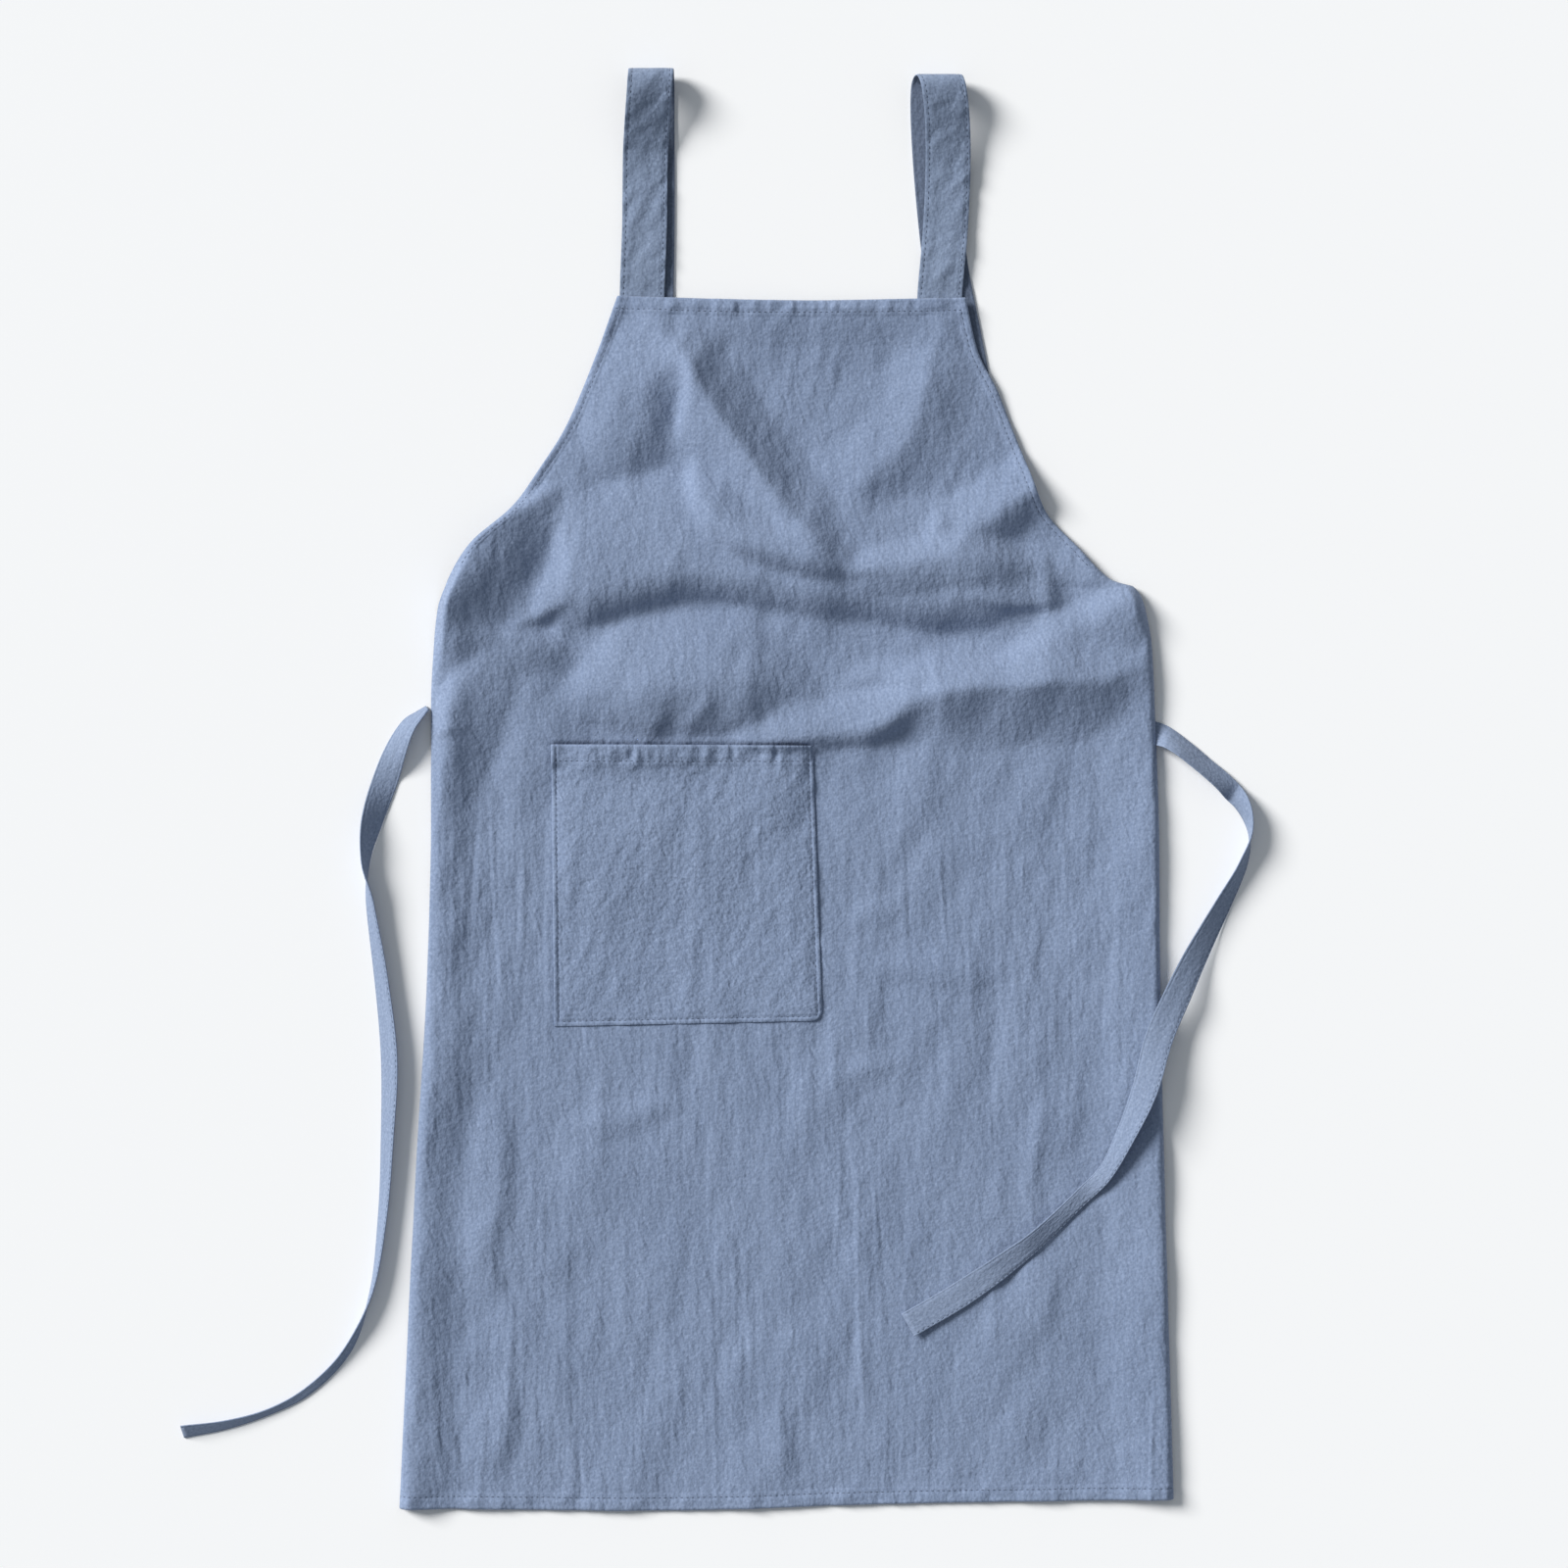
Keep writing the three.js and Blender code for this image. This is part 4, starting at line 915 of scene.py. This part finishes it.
pull_up = POCKET_ROUND * near_bottom * (1.0 - np.sqrt(1.0 - 0.5 * near_right ** 2))
plan_across = (pocket_across - pull_left / pocket_width)[..., None]
plan_up = (pocket_up + pull_up / pocket_length)[..., None]
pocket_bottom = pocket_corners[0, 0] + (pocket_corners[0, 1] - pocket_corners[0, 0]) * plan_across
pocket_mouth = pocket_corners[1, 0] + (pocket_corners[1, 1] - pocket_corners[1, 0]) * plan_across
pocket_plan = pocket_bottom + (pocket_mouth - pocket_bottom) * plan_up
pocket_x = pocket_plan[..., 0]
pocket_y = pocket_plan[..., 1]
pocket_square = 1.0 - np.abs(2.0 * pocket_across - 1.0) ** POCKET_SIDE_POWER
pocket_puff = POCKET_PUFF * pocket_square * smooth_step(*POCKET_PUFF_ALONG, pocket_up)
mouth_share = (smooth_step(*POCKET_MOUTH_LEFT, pocket_across)
               * (1.0 - smooth_step(*POCKET_MOUTH_RIGHT, pocket_across)))
mouth_roll = POCKET_MOUTH_ROLL * mouth_share * (1.0 - smooth_step(*POCKET_MOUTH_DEPTH, from_mouth))
from_sewn_edge = np.minimum(np.minimum(from_left, pocket_width - from_left), from_bottom)
pocket_hem = (turned_hem(from_sewn_edge, POCKET_SIDE_HEM, POCKET_SIDE_RISE)
              + pucker(pocket_x, pocket_y, from_sewn_edge, POCKET_SIDE_HEM, seed=44)
              + turned_hem(from_mouth, POCKET_MOUTH_HEM)
              + POCKET_MOUTH_PUCKER * pucker(pocket_x, pocket_y, from_mouth, POCKET_MOUTH_HEM, seed=45)
              + POCKET_MOUTH_GATHER * gather(pocket_x, from_mouth, POCKET_MOUTH_HEM, seed=50))
pocket_bumps = sum(crumple(pocket_x, pocket_y, *columns) for columns in POCKET_CRINKLES)
pocket_crinkle = POCKET_CRINKLE * pocket_bumps
pocket_crease = (POCKET_CREASE * np.exp(-((pocket_x - POCKET_CREASE_X) / POCKET_CREASE_WIDTH) ** 2)
                 * smooth_step(*POCKET_CREASE_LOW, pocket_y)
                 * (1.0 - smooth_step(*POCKET_CREASE_HIGH, pocket_y)))
pocket_loose = (POCKET_LOOSE + pocket_crinkle) * smooth_step(*POCKET_LOOSE_FROM, from_sewn_edge)
pocket_z = (front_middle(pocket_x, pocket_y) + CLOTH + POCKET_LIFT + pocket_puff + mouth_roll + pocket_hem
            + pocket_crease + pocket_loose)
pocket_grid = np.concatenate((pocket_plan, pocket_z[..., None]), axis=-1)
pocket = cloth_wall("pocket_cloth", pocket_grid, CLOTH, pocket_plan, pocket_linen)
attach(pocket, "root")
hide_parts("pocket")
side_stitch = POCKET_EDGE.index(POCKET_SIDE_STITCH)
mouth_stitch = POCKET_EDGE.index(POCKET_MOUTH_STITCH)
up_the_side = slice(side_stitch, POCKET_STITCH_STOP)
pocket_stitches = stitches("pocket_stitches", pocket_grid, CLOTH, [
    np.s_[up_the_side, side_stitch], np.s_[up_the_side, -1 - side_stitch],
    np.s_[side_stitch, side_stitch:-side_stitch], np.s_[-1 - mouth_stitch]])

# The shoulder straps: doubled bands of the same cloth, stitched along both edges.
# Each is sewn under the bib, loops over the shoulder, and runs down behind to a back panel.
STRAP_WIDTH = 0.032
BAND = 0.0014
STRAP_ROUTES = {
    "left": [
        (-0.1033, 0.339, 0.0027), (-0.1030, 0.355, 0.00275), (-0.1013, 0.400, 0.0031),
        (-0.1005, 0.452, 0.0046), (-0.0985, 0.480, 0.0134), (-0.0970, 0.498, 0.0186),
        (-0.0965, 0.5075, 0.0172), (-0.0963, 0.513, 0.0100), (-0.0962, 0.509, 0.0026),
        (-0.0960, 0.498, 0.0008), (-0.0960, 0.470, 0.0008), (-0.0960, 0.400, 0.0008),
        (-0.0980, 0.300, 0.0008), (-0.1020, 0.200, 0.0008), (-0.1050, 0.116, 0.0008),
        (-0.1050, 0.101, 0.0024), (-0.1050, 0.072, 0.0024),
    ],
    "right": [
        (0.1092, 0.339, 0.0027), (0.1095, 0.355, 0.00275), (0.1130, 0.396, 0.0034),
        (0.1150, 0.440, 0.0054), (0.1145, 0.474, 0.0126), (0.1125, 0.493, 0.0176),
        (0.1105, 0.5035, 0.0162), (0.1080, 0.5088, 0.0094), (0.1055, 0.505, 0.0026),
        (0.1045, 0.493, 0.0008), (0.1055, 0.460, 0.0008), (0.1095, 0.410, 0.0008),
        (0.1140, 0.372, 0.0008), (0.1229, 0.326, 0.0008), (0.1330, 0.270, 0.0008),
        (0.1400, 0.190, 0.0008), (0.1430, 0.116, 0.0008), (0.1430, 0.101, 0.0024),
        (0.1430, 0.072, 0.0024),
    ],
}
STRAP_STEPS = 24
STRAP_TILT = {"left": 0.0032, "right": 0.0022}
STRAP_ACROSS = np.array([-1.0, -0.985, -0.95, -0.90, -0.84, -0.77, -0.66, -0.5, -0.3, -0.1,
                         0.1, 0.3, 0.5, 0.66, 0.77, 0.84, 0.90, 0.95, 0.985, 1.0])
STRAP_SEEDS = {"left": 51, "right": 61}
STRAP_RUMPLE = 0.0005
STRAP_RUMPLE_START = (0.016, 0.030)
STRAP_RUMPLE_STOP = (-0.004, 0.0)
STRAP_TILT_START = (0.095, 0.125)
STRAP_TILT_STOP = (-0.022, -0.004)
STRAP_WRINKLES = ((0.016, 0.006, 0.45), (0.045, 0.010, 0.2), (0.009, 0.0045, 0.7))
BAND_STITCH_COLUMNS = (4, 15)
BAND_STITCH_PLACE = 0.84
BAND_GROOVE = 0.0007
BAND_GROOVE_WIDTH = 0.05
BAND_EDGE = (0.90, 1.0)
BAND_EDGE_THINNING = 0.8
strap_linen = linen("strap_linen", (0.150, 0.195, 0.295), (0.235, 0.300, 0.425), 1.0, 0.8)
# A darker copy of the strap linen for each band's lower side, which shows on the strand behind the loop:
# painted shade, not a colour of the cloth.
strap_inside_painted_shade = linen("strap_inside_painted_shade", (0.085, 0.112, 0.175), (0.140, 0.180, 0.265), 1.0, 0.8)


def smooth_route(points, steps):
    """Centripetal Catmull-Rom curve: knots spaced by the square root of the gaps between the points,
    the curve carried on straight past both ends, with a number of steps between two points."""
    points = np.array(points, dtype=float)
    knots = np.concatenate(([2.0 * points[0] - points[1]], points, [2.0 * points[-1] - points[-2]]))
    gap = np.linalg.norm(np.diff(knots, axis=0), axis=1)[:, None] ** 0.5
    slope = np.diff(knots, axis=0) / gap
    wide = (knots[2:] - knots[:-2]) / (gap[1:] + gap[:-1])
    tangent = slope[:-1] - wide + slope[1:]
    leave = (tangent[:-1] * gap[1:-1])[:, None, :]
    arrive = (tangent[1:] * gap[1:-1])[:, None, :]
    here = points[:-1, None, :]
    there = points[1:, None, :]
    t = (np.arange(steps) / steps)[None, :, None]
    square = 3.0 * (there - here) - 2.0 * leave - arrive
    cubic = 2.0 * (here - there) + leave + arrive
    curve = here + t * (leave + t * (square + t * cubic))
    return np.concatenate((curve.reshape(-1, points.shape[1]), points[-1:]))


def band_grid(centre, across, half_width, places):
    """Points of a band: each station's centre plus its direction across times a share of its half width."""
    reach = half_width[:, None] * places[None, :]
    return centre[:, None, :] + reach[..., None] * across[:, None, :]


def band_flat(width, run):
    """Places on a band before it was laid: across its width, and along its run."""
    return np.stack(np.broadcast_arrays(STRAP_ACROSS[None, :] * width / 2, run[:, None]), axis=-1)


edge_place = np.abs(STRAP_ACROSS)
band_groove = BAND_GROOVE * np.exp(-((edge_place - BAND_STITCH_PLACE) / BAND_GROOVE_WIDTH) ** 2)
band_thinning = BAND_EDGE_THINNING * smooth_step(*BAND_EDGE, edge_place)
band_thickness = BAND * np.sqrt(1.0 - band_thinning) - band_groove
for side, route in STRAP_ROUTES.items():
    strap_path = smooth_route(route, STRAP_STEPS)
    strap_path[:, 2] = np.maximum(strap_path[:, 2], BAND / 2)
    strap_across = np.broadcast_to(np.array((1.0, 0.0, 0.0)), strap_path.shape)
    strap_half = np.full(len(strap_path), STRAP_WIDTH / 2)
    strap_points = band_grid(strap_path, strap_across, strap_half, STRAP_ACROSS)
    strap_run = run_length(strap_path)
    strap_flat = band_flat(STRAP_WIDTH, strap_run)
    from_top = strap_run - strap_run[np.argmax(strap_path[:, 1])]
    in_front = (smooth_step(*STRAP_RUMPLE_START, strap_run)
                * (1.0 - smooth_step(*STRAP_RUMPLE_STOP, from_top)))
    for seed, columns in enumerate(STRAP_WRINKLES, STRAP_SEEDS[side]):
        wrinkle = crumple(strap_flat[..., 1], strap_flat[..., 0], seed, *columns)
        strap_points[..., 2] += STRAP_RUMPLE * (1.0 + wrinkle) * in_front[:, None]
    in_loop = smooth_step(*STRAP_TILT_START, strap_run) * (1.0 - smooth_step(*STRAP_TILT_STOP, from_top))
    strap_points[..., 2] -= STRAP_TILT[side] * STRAP_ACROSS[None, :] * in_loop[:, None]
    # The band's lower side takes the darker strap linen: painted shade inside the loop.
    strap = cloth_wall(f"shoulder_strap_{side}_band", strap_points, band_thickness[None, :], strap_flat,
                       strap_linen, strap_inside_painted_shade)
    strap_stitches = stitches(
        f"shoulder_strap_{side}_stitches", strap_points, band_thickness[None, :, None],
        [np.s_[:, edge] for edge in BAND_STITCH_COLUMNS])
    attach(strap, "root")
    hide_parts(f"shoulder_strap_{side}")

# The waist ties: narrow doubled bands, one from each side fold, lying free.
# The left one lies on the floor; the right one comes back over the side fold and lies on the front.
# Columns: place across and along, height of the ground beside the apron, lean in degrees, width.
TIE_ROUTES = {
    "left": [
        (-0.2562, 0.0585, 0, 60, 0.007), (-0.2625, 0.0527, 0, 52, 0.012),
        (-0.2692, 0.0462, 0, 44, 0.016), (-0.2769, 0.0322, 0, 30, 0.0175),
        (-0.2874, 0.0042, 0, -8, 0.018), (-0.2958, -0.0238, 0, -40, 0.018),
        (-0.3000, -0.0518, 0, -72, 0.014), (-0.2970, -0.0798, 0, -119, 0.013),
        (-0.2888, -0.1358, 0, -139, 0.014), (-0.2832, -0.1918, 0, -142, 0.016),
        (-0.2846, -0.2478, 0, -137, 0.0135), (-0.2880, -0.3038, 0, -130, 0.011),
        (-0.2965, -0.3598, 0, -105, 0.009), (-0.3147, -0.4018, 0, -45, 0.0075),
        (-0.3427, -0.4298, 0, -28, 0.0065), (-0.3693, -0.4438, 0, -40, 0.006),
        (-0.4000, -0.4530, 0, -40, 0.009), (-0.4309, -0.4578, 0, -40, 0.013),
    ],
    "right": [
        (0.2580, 0.0424, 0, 0, 0.0155), (0.2665, 0.0394, 0, -14, 0.0165),
        (0.2725, 0.0366, 0.0003, -35, 0.018), (0.2830, 0.0292, 0.0005, -45, 0.0195),
        (0.2965, 0.0182, 0.0005, -44, 0.0185), (0.3126, 0.0042, 0.0020, -27, 0.0155),
        (0.3245, -0.0098, 0.0024, 34, 0.013), (0.3305, -0.0300, 0, 84, 0.013),
        (0.3259, -0.0518, 0, 122, 0.013), (0.3115, -0.0810, 0, 142, 0.0155),
        (0.3038, -0.0955, 0.0005, 148, 0.017), (0.2898, -0.1218, 0.0045, 160, 0.019),
        (0.2764, -0.1498, 0.01, 172, 0.02), (0.2645, -0.1780, 0.01, 186, 0.02),
        (0.2545, -0.2135, 0, 202, 0.019), (0.2408, -0.2460, 0, 212, 0.0155),
        (0.2264, -0.2735, 0, 200, 0.012), (0.2069, -0.2932, 0, 170, 0.012),
        (0.1791, -0.3193, 0, 159, 0.0145), (0.1544, -0.3386, 0, 170, 0.017),
        (0.1215, -0.3612, 0, 181, 0.0185), (0.0865, -0.3815, 0, 186, 0.0185),
    ],
}
TIE_WIDTH = 0.020
TIE_STEPS = 10
TIE_PROBES = 5
# The first rows of a route are the root, beside and under the side fold, and never lie on the front.
TIE_ROOT_ROWS = 4
TIE_LIFT = 0.0011
tie_linen = linen("tie_linen", (0.165, 0.215, 0.325), (0.255, 0.320, 0.455), 1.57, 0.35)

for side, route in TIE_ROUTES.items():
    rows = np.array(route)
    tie_plan = smooth_route(rows[:, :2], TIE_STEPS)
    forward = np.gradient(tie_plan, axis=0)
    forward /= np.linalg.norm(forward, axis=1, keepdims=True)
    row_at = np.linspace(0.0, len(rows) - 1.0, len(tie_plan))
    row_numbers = np.arange(len(rows))
    ground, lean, width = (read_table(row_numbers, column, row_at) for column in rows.T[2:])
    level = np.cos(np.radians(lean))
    upright = np.sin(np.radians(lean))
    flat_half = 0.5 * width * level
    probe = np.linspace(-1.0, 1.0, TIE_PROBES)
    probe_x = tie_plan[:, :1] - forward[:, 1:] * flat_half[:, None] * probe
    probe_y = tie_plan[:, 1:] + forward[:, :1] * flat_half[:, None] * probe
    on_front = (probe_x > left_edge(probe_y)) & (probe_x < right_edge(probe_y))
    on_front &= row_at[:, None] > TIE_ROOT_ROWS
    cloth_top = np.where(on_front, front_middle(probe_x, probe_y) + CLOTH / 2 + TIE_LIFT, 0.0)
    support = np.maximum(ground, cloth_top.max(axis=1))
    edge_drop = 0.5 * width * np.abs(upright) + 0.5 * band_thickness[0] * np.abs(level)
    tie_z = support + np.maximum(edge_drop, 0.5 * BAND * np.abs(level))
    tie_path = np.concatenate((tie_plan, tie_z[:, None]), axis=1)
    tie_across = np.stack((-forward[:, 1] * level, forward[:, 0] * level, upright), axis=1)
    tie_points = band_grid(tie_path, tie_across, 0.5 * width, STRAP_ACROSS)
    tie_run = run_length(tie_path)
    tie = cloth_wall(f"waist_tie_{side}_band", tie_points, band_thickness[None, :],
                     band_flat(TIE_WIDTH, tie_run), tie_linen)
    tie_stitches = stitches(f"waist_tie_{side}_stitches", tie_points, band_thickness[None, :, None],
                            [np.s_[:, BAND_STITCH_COLUMNS[0]]])
    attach(tie, "root")
    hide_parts(f"waist_tie_{side}")
